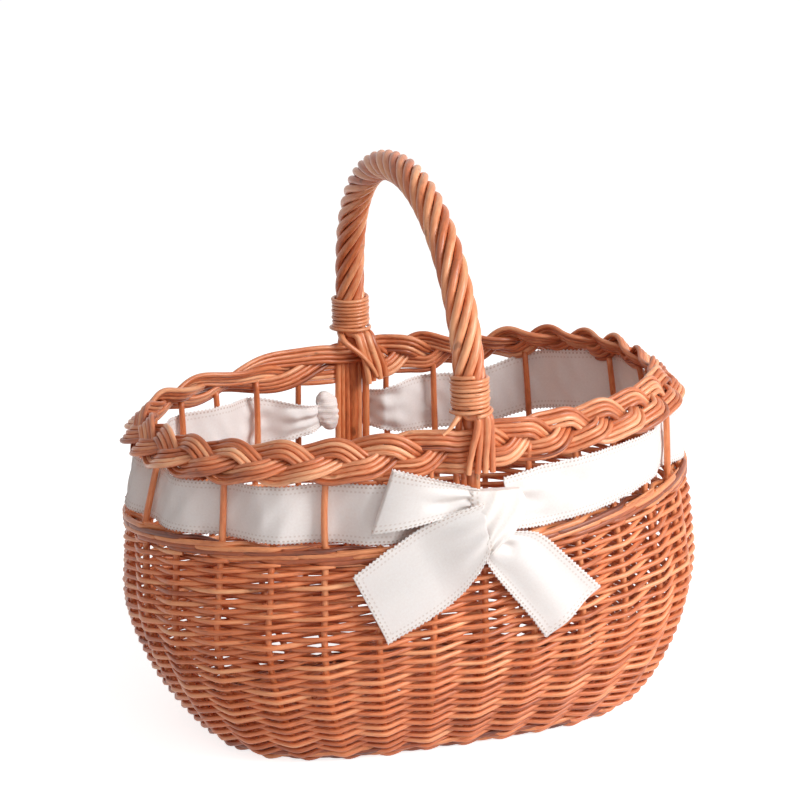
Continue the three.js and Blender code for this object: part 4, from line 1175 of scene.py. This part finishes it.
def lay_handle():
    """A rod comes up from the front foot, is wound round the core, and goes down at the back foot.

    Its angle grows evenly with its length, and its radius grows from each foot to the roping."""
    lay_start = BINDING_LENGTH * 0.7
    t = np.linspace(0, 1, ROPING_STEPS)
    length = mix(lay_start, ARCH_LENGTH - lay_start, t)
    for number in range(ROD_COUNT):
        front_place, back_place = centred(number), -centred(number + LAY_SHIFT)
        angle = PLACE_ANGLE * number
        wound = beside_arch(length, angle + LAY_TWIST * t, LAY_RADIUS)
        first = beside_arch(np.array([0.0]), np.array([angle]), LAY_RADIUS)
        last = beside_arch(np.array([ARCH_LENGTH]), np.array([angle + LAY_TWIST]), LAY_RADIUS)
        front = foot_path(FRONT_FOOT, front_place)[::-1]
        low_end = rounded(np.concatenate([front, first, wound[:1]]))
        high_end = rounded(np.concatenate([wound[-1:], last, foot_path(BACK_FOOT, back_place)]))
        path = np.concatenate([low_end[:-1], wound, high_end[1:]])
        steps = np.arange(len(path))
        near_front, near_back = steps / len(low_end), steps[::-1] / len(high_end)
        front_r = SHORT_ROD_R if front_place == -FAN_EACH_SIDE else ROD_FOOT_R
        back_r = CROSSING_ROD_R if back_place == -FAN_EACH_SIDE else BACK_FOOT_R
        foot_r = np.where(near_front < near_back, front_r, back_r)
        roped = smooth(np.minimum(near_front, near_back) * 1.2 - 0.1)
        rods = Rods()
        rods.lay(path, mix(foot_r, HANDLE_ROD_R, roped)[None], dice.uniform(0.25, 0.95), 12)
        node = f"handle_rod_{number + 1}"
        rods.write(f"handle_roping_{number + 1}", handle_finish, "willow_handle", node)


def lay_core():
    """The bent rod that the others go round, from wall to wall, and short rods beside its feet."""
    rods = Rods()
    legs = []
    for sign, end in ((FRONT_FOOT, 0.0), (BACK_FOOT, ARCH_LENGTH)):
        foot, axis = feet[sign], arch_point(end)
        under, over = foot.middle - PLAIT_HEIGHT / 2, foot.middle + PLAIT_HEIGHT / 2
        leg = [[*foot.body, foot.top - IN_WALL], [*foot.border, under], [*foot.border, over], axis]
        legs.append(rounded(np.array(leg), 3))
    arch = arch_point(np.linspace(4, ARCH_LENGTH - 4, 120))
    path = np.concatenate([legs[0], arch, legs[1][::-1]])
    near_end = np.minimum(np.arange(len(path)), np.arange(len(path))[::-1]) / 30
    radii = mix(CORE_FOOT_R + 0.6, LAY_RADIUS - HANDLE_ROD_R + 0.6, smooth(near_end))
    rods.lay(path, radii[None], 0.2, 10)
    for sign, aside, radius in LINERS:
        foot = feet[sign]
        x, y = foot.border
        line = [[foot.body[0] + aside, foot.body[1], foot.top - IN_WALL],
                [x + aside, y - 1, foot.middle - PLAIT_HEIGHT / 2],
                [x + aside * 0.9, y, foot.middle + 4],
                [x + aside * 0.6, y, BINDING_BOTTOM + 2]]
        rods.lay(rounded(line, 3), radius, dice.uniform(0.3, 0.8), 10)
    return rods.write("handle_core_rod", stake_finish, "willow_core", "handle_core")


lay_handle()
lay_core()

# %% Cane bindings
CANE_R = 1.5
CANE_PITCH = 2.95
BINDING_TURNS = 9
LOOSE_TURNS = 1.3
LOOSE_OUT = 2.2
CANE_SUNK = 0.4


def lay_binding(sign, name, node, wider=0.0):
    """A helix round the roping: angle grows evenly with length. The lowest turn is loose.

    Two slow sines keep the turns from lying quite evenly."""
    rods = Rods()
    t = np.linspace(0, 1, BINDING_TURNS * 40 + 1)
    angle = 2 * np.pi * BINDING_TURNS * t
    loose = smooth(1 - t * BINDING_TURNS / LOOSE_TURNS)
    length = CANE_R + FIT + BINDING_TURNS * CANE_PITCH * t + loose * (1.2 * np.sin(angle) - 0.4)
    length += 0.25 * np.sin(t * 41.0)
    tight = LAY_RADIUS + HANDLE_ROD_R + CANE_R - CANE_SUNK
    radius = tight + LOOSE_OUT * loose + wider + 0.3 * np.sin(t * 23.0)
    along = length if sign < 0 else ARCH_LENGTH - length
    path = beside_arch(along, angle if sign < 0 else -angle, radius[:, None])
    rods.lay(path, CANE_R, 0.6, 8)
    return rods.write(name, cane_finish, "willow_cane", node)


lay_binding(FRONT_FOOT, "binding_cane_front", "binding_front")
lay_binding(BACK_FOOT, "binding_cane_back", "binding_back", 0.9)

# %% [markdown]
# ## Cotton ribbon
#
# The ribbon is woven cotton tape with a drawn-thread hem along both edges: two rows of tiny
# holes, and an edge of small picots. It is a thin sheet, so each piece is one grid, length by
# width, given a real thickness by a second copy just behind it.

# %% Cotton finish
HOLE_PITCH = 0.32
HOLE_ROWS = ((0.2, 1.0), (0.52, 0.5))
HOLE_HALF_LENGTH = 0.08
HOLE_HALF_WIDTH = 0.06
HOLE_COLOR = (188, 158, 138)
HOLE_STRENGTH = 0.55
DULL_COTTON = (245, 236, 231)
CLEAR_COTTON = (253, 247, 243)
WARP_RATE, WEFT_RATE, THREAD_RELIEF = 110.0, 120.0, 0.3
CLOTH_SHINE_THROUGH = 0.0025


def cotton():
    """Threads every half millimetre raise the cloth; two rows of holes run beside each edge.

    A hole is where two distances are both small: to the row's line, and to the nearest step."""
    finish = Finish(bpy.data.materials.new("cotton_ribbon"))
    lay = finish.add("ShaderNodeUVMap", {"uv_map": "lay"}, None, "UV")
    along = finish.add("ShaderNodeSeparateXYZ", None, {0: lay}, 0)
    from_edge = Wire(finish, along.socket.node.outputs[1])
    warp = finish.add("ShaderNodeMath", {"operation": "SINE"}, {0: along * WARP_RATE})
    weft = finish.add("ShaderNodeMath", {"operation": "SINE"}, {0: from_edge * WEFT_RATE})
    place = finish.add("ShaderNodeCombineXYZ", None, {0: along, 1: from_edge})
    slubs = finish.add(
        "ShaderNodeTexNoise", None, {"Vector": place, "Scale": 6.0, "Detail": 4.0}, "Fac")
    height = warp * THREAD_RELIEF + weft * THREAD_RELIEF + slubs
    bump = finish.add(
        "ShaderNodeBump", None, {"Strength": 0.3, "Distance": 0.0005, "Height": height})
    stops = [(0.2, paint(*DULL_COTTON)), (0.8, paint(*CLEAR_COTTON))]
    color = finish.add("ShaderNodeValToRGB", {"stops": stops}, {0: slubs})
    holes = 0.0
    for shift, (row, strength) in enumerate(HOLE_ROWS):
        to_step = finish.add(
            "ShaderNodeMath", {"operation": "PINGPONG"},
            {0: along + shift * HOLE_PITCH / 2, 1: HOLE_PITCH / 2})
        to_row = finish.add("ShaderNodeMath", {"operation": "ABSOLUTE"}, {0: from_edge - row})
        holes = (to_step < HOLE_HALF_LENGTH) * (to_row < HOLE_HALF_WIDTH) * strength + holes
    color = finish.add(
        "ShaderNodeMix", {"data_type": "RGBA", "blend_type": "MIX"},
        {0: holes * HOLE_STRENGTH, 6: color, 7: paint(*HOLE_COLOR)}, 2)
    shader = finish.add(
        "ShaderNodeBsdfPrincipled", None,
        {"Base Color": color, "Roughness": 0.82, "Normal": bump,
         "Sheen Weight": 0.15, "Sheen Roughness": 0.5, "Subsurface Weight": 0.3,
         "Subsurface Radius": (1.0, 0.8, 0.7), "Subsurface Scale": CLOTH_SHINE_THROUGH})
    return finish.end(shader)


cotton_finish = cotton()


# %% A ribbon from a grid of points
CLOTH_THICKNESS = 0.5
PICOT_PITCH = 3.2
PICOT_DEPTH = 1.7


def ribbon_piece(name, grid, node, cut_end=False):
    """A closed thin sheet: the grid moved half a thickness to both sides and joined round its rim.

    UVs hold centimetres along the nearest hemmed edge, and centimetres from it."""
    rows, columns, _ = grid.shape
    half = CLOTH_THICKNESS / 2 * unit(np.cross(np.gradient(grid, axis=0), np.gradient(grid, axis=1)))
    points = np.concatenate([(grid + half).reshape(-1, 3), (grid - half).reshape(-1, 3)])
    front = np.arange(rows * columns).reshape(rows, columns)
    back = front + rows * columns
    faces = [
        np.stack([front[:-1, :-1], front[1:, :-1], front[1:, 1:], front[:-1, 1:]], -1).reshape(-1, 4),
        np.stack([back[:-1, :-1], back[:-1, 1:], back[1:, 1:], back[1:, :-1]], -1).reshape(-1, 4)]
    rim = np.concatenate([front[:, 0], front[-1, 1:], front[-2::-1, -1], front[0, -2:0:-1]])
    ahead = np.roll(rim, -1)
    faces.append(np.stack([rim, rim + rows * columns, ahead + rows * columns, ahead], -1))
    polygons = np.concatenate(faces)
    along = running(np.linalg.norm(np.diff(grid, axis=0), axis=-1).mean(1)) * CENTIMETRES
    across = running(np.linalg.norm(np.diff(grid, axis=1), axis=-1).mean(0)) * CENTIMETRES
    edge = np.minimum(across, across[-1] - across)
    uv = np.stack(np.broadcast_arrays(along[:, None], edge[None]), -1)
    if cut_end:
        from_end = (along[-1] - along)[:, None]
        end_uv = np.stack(np.broadcast_arrays(across[None], from_end), -1)
        uv = np.where((from_end < edge[None])[..., None], end_uv, uv)
    uv = uv.reshape(-1, 2)
    uv = np.concatenate([uv, uv])[polygons.ravel()]
    mesh = write_mesh(name, points, [polygons], [uv], {})
    print(f"{name}: {len(mesh.polygons)} faces, {along[-1]:.1f} cm long")
    piece = link_piece(name, mesh, cotton_finish, [node])
    return piece, along[-1] * 10, across[-1] * 10


def picot(grid):
    """Moves both long edges in and out by a small wave along their length."""
    grid = grid.copy()
    for edge, inside in ((0, 1), (-1, -2)):
        along = running(np.linalg.norm(np.diff(grid[:, edge], axis=0), axis=-1))
        out = unit(grid[:, edge] - grid[:, inside])
        uneven = 0.75 + 0.25 * np.sin(along * 0.9) * np.sin(along * 0.37)
        wave = np.cos(2 * np.pi * along / PICOT_PITCH) * uneven
        grid[:, edge] += out * wave[:, None] * PICOT_DEPTH / 2
    return grid


# %% Bands round the basket
RIBBON_WIDTH = 44.0
RIBBON_LIFT = 2.0
RIBBON_OFFSET = STAKE_D / 2 + FIT + 0.9
# Each end of a band gathers to a share of its width over a length, and pleats by a share.
LEFT_BOW_GATHER = (0.5, 50.0, 0.9)
RIGHT_BOW_GATHER = (0.86, 36.0, 0.5)
BACK_GATHER = (0.4, 74.0, 0.5)
BACK_KNOT_ASIDE = 20.0
BOW_ASIDE = 9.0
BAND_UNDER_KNOT = 13.0
BAND_BACK_LIFT = 12.5
BAND_BACK_SPARE = 3.5
BAND_STEP = 0.8
BAND_COLUMNS = 33
# The lower edge of the right band stands clear of the wale beside this stake.
LOW_EDGE_LIFT = 6.0
LIFTED_STAKE = 4.3
FIRST_OUTSIDE = 5
PLEAT_WAVES = 2.7
RIPPLE = 0.12
SMALL_RIPPLE = 0.1
CREASE, CREASE_REACH = 0.4, 110.0


def passes_outside(number):
    """Outside the first stakes to the right of the bow, and then every second one."""
    from_front = min(number, STAKE_COUNT - number)
    if number < STAKE_COUNT // 2 and from_front < FIRST_OUTSIDE:
        return True
    middle = math.ceil(STAKE_COUNT / 4)
    return from_front % 2 == 0 if from_front <= middle else from_front % 2 == 1


SIDES_AT_STAKES = np.array([
    1 if number in (0, STAKE_COUNT // 2) or passes_outside(number) else -1
    for number in range(STAKE_COUNT)])


def band_offset(part):
    """From one side of a stake to the other side of the next, with an ease between them."""
    place = part * STAKE_COUNT
    before = np.floor(place).astype(int)
    share = place - before
    start = SIDES_AT_STAKES[before % STAKE_COUNT]
    end = SIDES_AT_STAKES[(before + 1) % STAKE_COUNT]
    before_foot = (before + 1) % (STAKE_COUNT // 2) == 0
    turn = np.where(before_foot, (share - 0.08) * 2.6, share * 1.3 - 0.15)
    return RIBBON_OFFSET * mix(start, end, smooth(turn))


def band_grid(from_part, to_part, first_gather, last_gather):
    """Length by width. Both ends gather to the knots, with pleats that fade away from them."""
    whole = border_oval.perimeter
    rows = int((to_part - from_part) * whole / BAND_STEP)
    part = np.linspace(from_part, to_part, rows)[:, None]
    across = np.linspace(0, 1, BAND_COLUMNS)[None]
    plan_top, plan_border = top_oval.share(part[:, 0]), border_oval.share(part[:, 0])
    low = body_top(*plan_top.T) + RIBBON_LIFT
    high = border_middle(plan_border[:, 0]) - PLAIT_HEIGHT / 2 - FIT
    back_right = at_back_right(*plan_border.T)
    room = (np.minimum(RIBBON_WIDTH, high - low) + BAND_BACK_SPARE * back_right)[:, None]
    low = low + BAND_BACK_LIFT * back_right
    from_first, from_last = (part - from_part) * whole, (to_part - part) * whole
    from_end = np.minimum(from_first, from_last)
    gather, pull = 1.0, 0.0
    for distance, (share, reach, depth) in ((from_first, first_gather), (from_last, last_gather)):
        gather = gather * mix(share, 1, smooth(distance / reach))
        pull = pull + depth * (1 - smooth(distance / reach / 1.5))
    height = low[:, None] + room * (0.5 + gather * (across - 0.5))
    raised = LOW_EDGE_LIFT * smooth(1 - np.abs(part * STAKE_COUNT - LIFTED_STAKE) / 2)
    height = height + raised * (1 - across)
    pleats = pull * (1 + np.cos(across * 2 * np.pi * PLEAT_WAVES + from_end * 0.045))
    ripple = RIPPLE * (1 + np.sin(part * whole * 0.11 + across * 5))
    ripple = ripple + SMALL_RIPPLE * np.sin(part * whole * 0.31 - across * 9)
    creases = CREASE * smooth(1 - from_end / CREASE_REACH)
    creases = creases * (1 + np.sin(across * 9 + from_end * 0.09))
    offset = band_offset(part) * (1 + pleats + ripple + creases)
    part = np.broadcast_to(part, height.shape)
    return fence(part, height, offset)


knot_x = feet[FRONT_FOOT].border[0] + BOW_ASIDE
knot_part = knot_x / border_oval.perimeter
right_start = (knot_x + BAND_UNDER_KNOT) / border_oval.perimeter
back_knot_part = (BACK_PASS + BACK_KNOT_ASIDE) / border_oval.perimeter
right_grid = band_grid(right_start, back_knot_part, RIGHT_BOW_GATHER, BACK_GATHER)
left_grid = band_grid(back_knot_part, 1 + knot_part, BACK_GATHER, LEFT_BOW_GATHER)
right_band, right_long, right_wide = ribbon_piece(
    "ribbon_band_right", picot(right_grid), "ribbon_right")
left_band, left_long, left_wide = ribbon_piece(
    "ribbon_band_left", picot(left_grid), "ribbon_left")
print("right band", round(right_long), "x", round(right_wide), "mm")

# %% [markdown]
# ## The bow
#
# The loop, the knot and the two tails are the same ribbon. Each flat piece is drawn between two
# edge lines on the basket's front, given by a few corners in millimetres to the right and up. The
# cloth is ruled from one line to the other and laid off the basket at a depth for every point, so
# it follows the round of the side.

# %% Places on the front of the basket
level_shares = np.linspace(0, 1, 80)
level_ovals = [wall_oval(share) for share in level_shares]
level_rounds = np.array([oval.perimeter for oval in level_ovals])
level_widths = np.array([oval.outline[1, 0] for oval in level_ovals])
level_rises = running(np.hypot(np.diff(level_widths), np.diff(level_shares * BODY_HEIGHT)))
level_rises /= level_rises[-1]


def outside(x, height, depth):
    """A place in front of the basket: beside the stakes above the body's top, else off the wall.

    x is the length to the right of the middle, along the oval at that height."""
    x, height, depth = np.broadcast_arrays(*[np.asarray(v, float) for v in (x, height, depth)])
    part = x / top_oval.perimeter
    top = body_top(*np.moveaxis(top_oval.share(part), -1, 0))
    share = np.clip(height / top, 0, 1)
    above = fence(part, np.maximum(height, top), depth)
    low_part = x / np.interp(share, level_shares, level_rounds)
    below = side.at(low_part, np.interp(share, level_shares, level_rises), depth)
    return np.where((height >= top)[..., None], above, below)


def edge_line(corners, count):
    """A smooth line through rounded corners, with points at even steps of its length."""
    line = rounded(np.column_stack([corners, np.zeros(len(corners))]), 3)[:, :2]
    lengths = running(np.hypot(*np.diff(line, axis=0).T))
    even = np.linspace(0, lengths[-1], count)
    return np.stack([np.interp(even, lengths, axis) for axis in line.T], -1)


def panel(upper, lower, depth_at, rows=130, columns=41):
    """Rows run from the knot to the end, columns from the upper line to the lower one."""
    t, u = np.linspace(0, 1, rows)[:, None], np.linspace(0, 1, columns)[None]
    flat = mix(edge_line(upper, rows)[:, None], edge_line(lower, rows)[:, None], u[..., None])
    return outside(flat[..., 0], flat[..., 1], depth_at(t, u))


# %% Loop of the bow
LOOP_FRONT_DEPTH = 13.5
LOOP_BACK_DEPTH = 8.5
LOOP_ROUND = 6.0
LOOP_SAG = 1.5
LOOP_PLEAT = 1.5
# The loop's corners at the knot and at its far end, each above and below.
LOOP_NEAR = ((-8.0, 211.0), (-9.0, 198.0))
LOOP_FAR = ((-69.0, 230.0), (-83.5, 185.0))


def dent(t, u, middle, reach):
    """1 at a place of the sheet, falling to 0 at a reach to all sides of it."""
    near_t, near_u = (1 - np.abs(v - at) / far for v, at, far in zip((t, u), middle, reach))
    return smooth(near_t) * smooth(near_u)


def loop_grid():
    """Out along the front layer, round the fold at the left end, and back behind.

    away = sin, so both layers share their edge lines, and the turn adds a round of its own."""
    t, u = np.linspace(0, 1, 180)[:, None], np.linspace(0, 1, 41)[None]
    away = np.sin(np.pi * t) ** 0.75
    near = mix(*np.array(LOOP_NEAR), u[..., None])
    far = mix(*np.array(LOOP_FAR), u[..., None])
    flat = mix(near, far, away[..., None])
    x, height = flat[..., 0], flat[..., 1] + LOOP_SAG * np.sin(np.pi * u) * np.sin(np.pi * away)
    front = smooth((0.5 - t) / 0.15 + 0.5)
    front_depth = LOOP_FRONT_DEPTH + LOOP_ROUND * np.sin(0.94 * np.pi * away**1.5)
    layer = mix(LOOP_BACK_DEPTH, front_depth, front)
    pleats = LOOP_PLEAT * (1 - smooth(away * 1.25)) * np.cos(u * 2 * np.pi * 2.6 + 0.8)
    fold = -4.5 * dent(away, u, (0.36, 0.66), (0.26, 0.22)) * front
    lift = 0.8 * np.sin(away * 5 + u * 3) * away
    clear = np.where(front > 0.5, 1, 0.4)
    return outside(x, height, layer + (pleats + lift) * clear + fold)


loop, loop_long, loop_wide = ribbon_piece(
    "bow_loop_left", picot(loop_grid()), "bow_loop")

# %% Tails of the bow
LEFT_UPPER = [(-8, 204), (-30, 197), (-52, 186), (-76, 168), (-97, 152.5)]
LEFT_LOWER = [(-4, 168), (-12, 150), (-24, 132), (-48, 117), (-75, 104)]
RIGHT_UPPER = [(6, 178), (24, 177), (39, 173), (62, 150), (88, 124)]
RIGHT_LOWER = [(-8, 168), (0, 150), (21, 124), (32, 110), (44, 95)]
TAIL_CLEAR = 7.8


def left_depth(t, u):
    """In front of the loop near the knot, then down on to the wall, with long shallow folds."""
    base = mix(21.0, TAIL_CLEAR + 1.5, smooth(t * 1.9))
    folds = mix(1.4, 2.0, t) * (1 + np.cos(u * 2 * np.pi * 1.15 + 0.6 + t * 1.3)) * smooth(t * 3)
    pleats = 1.3 * (1 - smooth(t * 2.4)) * np.cos(u * 2 * np.pi * 3 + t * 6)
    return base + folds * 0.8 + pleats


def right_depth(t, u):
    """Out from under the knot, with a pocket near it and one long fold to the corner."""
    base = mix(12.0, TAIL_CLEAR + 1.0, smooth(t * 1.8))
    folds = mix(2.4, 1.5, t) * (1 + np.cos(u * 2 * np.pi * 1.3 + 2.4 - t * 1.1)) * smooth(t * 3)
    pocket = 5.5 * dent(t, u, (0.17, 0.42), (0.12, 0.2))
    pleats = 1.1 * (1 - smooth(t * 2.4)) * np.cos(u * 2 * np.pi * 2.4 + 1)
    return base + folds - pocket + pleats


left_tail_grid = picot(panel(LEFT_UPPER, LEFT_LOWER, left_depth))
right_tail_grid = picot(panel(RIGHT_UPPER, RIGHT_LOWER, right_depth))
left_tail, left_tail_long, left_tail_wide = ribbon_piece(
    "bow_left_tail", left_tail_grid, "bow_tail_left", cut_end=True)
right_tail, right_tail_long, right_tail_wide = ribbon_piece(
    "bow_right_tail", right_tail_grid, "bow_tail_right", cut_end=True)

# %% The bow's knot: a broad wrap whose left edge is a seam
KNOT_LEFT = [(-15, 211), (-15.5, 200), (-11, 187), (-8, 176), (-5, 165)]
KNOT_RIGHT = [(22, 209), (27, 200), (24, 188), (14, 176), (0, 164)]
KNOT_DEPTH = 17.0
SEAM_PITCH = 3.2


def write_barrel(name, points, uv, node):
    """Rings of points, one above the other, with a flat face at both ends."""
    rows, columns, _ = points.shape
    index = np.arange(rows * columns).reshape(rows, columns)
    ahead = np.roll(index, -1, 1)
    quads = np.stack([index[:-1], index[1:], ahead[1:], ahead[:-1]], -1).reshape(-1, 4)
    caps = np.stack([index[0], index[-1, ::-1]])
    points, uv = points.reshape(-1, 3), uv.reshape(-1, 2)
    mesh = write_mesh(name, points, [quads, caps], [uv[quads.ravel()], uv[caps.ravel()]], {})
    return link_piece(name, mesh, cotton_finish, [node])


def rows_and_rounds(rows, columns):
    """Shares of the height in a column, and angles round it in a row."""
    around = np.linspace(0, 2 * np.pi, columns, endpoint=False)
    return np.linspace(0, 1, rows)[:, None], around[None]


def bow_knot_piece():
    """Between the left and the right line at each height. The section is a rounded oblong.

    Its pleats run aslant, from the upper right down to the seam."""
    rows = 110
    t, around = rows_and_rounds(rows, 120)
    left, right = edge_line(KNOT_LEFT, rows), edge_line(KNOT_RIGHT, rows)
    over, front = (1 - np.cos(around)) / 2, np.sin(around)
    flat = mix(left[:, None], right[:, None], over[..., None])
    end = np.sin(np.clip(np.pi * (0.04 + 0.92 * t), 0, np.pi)) ** 0.35
    thick = np.sign(front) * np.abs(front) ** 0.6 * end
    broad = 1.1 * np.cos(2 * np.pi * (over * 1.9 + t * 2.1))
    fine = 0.5 * np.cos(2 * np.pi * (over * 4 + t * 3.2))
    depth = 5.0 + KNOT_DEPTH * (0.5 + 0.5 * thick) + (broad + fine) * smooth(front * 2) * end
    picots = np.cos(2 * np.pi * left[:, 1, None] / SEAM_PITCH)
    flat[..., 0] += 0.35 * picots * smooth(1 - over * 12)
    seam = np.where(front > 0, (flat[..., 0] - left[:, None, 0]) * CENTIMETRES, 3.0)
    uv = np.stack(np.broadcast_arrays(flat[..., 1] * CENTIMETRES, seam + 0.08), -1)
    points = outside(flat[..., 0], flat[..., 1], depth)
    return write_barrel("bow_centre_knot", points, uv, "bow_knot")


bow_knot = bow_knot_piece()

# %% The back knot: a short roll with a wrap round its middle
BACK_KNOT_SIZE = (36.0, 26.0, 32.0)
BACK_KNOT_HEIGHT = 27.0
BACK_KNOT_LEAN = 5.0


def back_knot_piece():
    """An oval section at each height, full at the wrap and gathered above and below it."""
    t, around = rows_and_rounds(100, 120)
    body = (1 - np.abs(2 * t - 1) ** 2.4) ** 0.5 + 0.12
    wrap = smooth((0.3 - np.abs(t - 0.52 - 0.16 * np.cos(around + 0.5))) / 0.12)
    pleats = 0.035 * np.cos(around * 4 + 9 * t) + 0.045 * np.cos(15 * t - 2 * around)
    pleats = pleats + 0.02 * np.cos(40 * t + around)
    reach = body * (0.82 + 0.16 * wrap + pleats) / 2
    long, deep, tall = BACK_KNOT_SIZE
    centre = fence(back_knot_part, np.asarray(feet[BACK_FOOT].top + BACK_KNOT_HEIGHT), 0.0)
    x = centre[0] - 1.8 + long / 2 * reach * np.cos(around) - BACK_KNOT_LEAN * (t - 0.5)
    y = centre[1] + deep / 2 * reach * np.sin(around)
    z = centre[2] + tall * (t - 0.5) + 0 * around
    points = np.stack([x, y, z], -1)
    uv = np.stack(np.broadcast_arrays(around, 1.0 + t), -1)
    return write_barrel("ribbon_back_knot", points, uv, "ribbon_knot_back")


back_knot = back_knot_piece()


# %% [markdown]
# ## Floor and light
#
# The floor is a wide pale sheet, which the camera sees as white with the basket's shadow on it.
# One large soft lamp stands to the front right, a weaker one fills from the front, and the world
# gives the rest. The camera and the reflections see the room as plain white.

# %% Floor
WHITE = (1, 1, 1, 1)
FLOOR_GLOW = 0.8
FLOOR_HALF = 12.0
FLOOR_PAPER = (236, 236, 236)


def is_looked_at(finish):
    """1 for a ray from the camera, from a reflection or through glass. 0 for a ray of light."""
    camera_ray = finish.add("ShaderNodeLightPath", None, None, "Is Camera Ray")
    rays = camera_ray.socket.node.outputs
    return camera_ray + Wire(finish, rays["Is Glossy Ray"]) + Wire(finish, rays["Is Transmission Ray"])


def make_floor():
    """A square sheet at z = 0, grey-white, which glows only for the rays that look at it."""
    finish = Finish(bpy.data.materials.new("floor_paper"))
    diffuse = finish.add("ShaderNodeBsdfDiffuse", None, {"Color": paint(*FLOOR_PAPER)})
    glow = finish.add(
        "ShaderNodeEmission", None, {"Color": WHITE, "Strength": is_looked_at(finish) * FLOOR_GLOW})
    material = finish.end(finish.add("ShaderNodeAddShader", None, {0: diffuse, 1: glow}))
    mesh = bpy.data.meshes.new("floor")
    corners = [(FLOOR_HALF * x, FLOOR_HALF * y, 0) for x, y in ((-1, -1), (1, -1), (1, 1), (-1, 1))]
    mesh.from_pydata(corners, [], [(0, 1, 2, 3)])
    mesh.materials.append(material)
    floor = bpy.data.objects.new("floor", mesh)
    bpy.context.scene.collection.objects.link(floor)
    return floor


make_floor()


# %% Lamps and world
# Each lamp's name, place, size and power in watts.
LAMPS = (
    ("key_lamp", (1.75, -1.95, 1.5), 1.5, 77),
    ("fill_lamp", (-0.6, -2.5, 2.1), 2.0, 17))
LAMPS_LOOK_AT = (0, 0, 0.2)
ROOM_COLOR = (1, 0.9, 0.87, 1)
ROOM_STRENGTH = 0.26


def add_lamp(name, place, size, power):
    """A square lamp that looks at the basket's middle."""
    data = bpy.data.lights.new(name, "AREA")
    data.size = size
    data.energy = power
    lamp = bpy.data.objects.new(name, data)
    lamp.location = place
    look = Vector(LAMPS_LOOK_AT) - Vector(place)
    lamp.rotation_euler = look.to_track_quat("-Z", "Y").to_euler()
    bpy.context.scene.collection.objects.link(lamp)


for lamp in LAMPS:
    add_lamp(*lamp)
room = Finish(bpy.data.worlds.new("pale_room"))
pale_light = room.add(
    "ShaderNodeBackground", None, {"Color": ROOM_COLOR, "Strength": ROOM_STRENGTH})
white_wall = room.add("ShaderNodeBackground", None, {"Color": WHITE, "Strength": 1.0})
sky = room.add("ShaderNodeMixShader", None, {0: is_looked_at(room), 1: pale_light, 2: white_wall})
bpy.context.scene.world = room.end(sky, "ShaderNodeOutputWorld")
bpy.context.scene.view_settings.view_transform = "Standard"
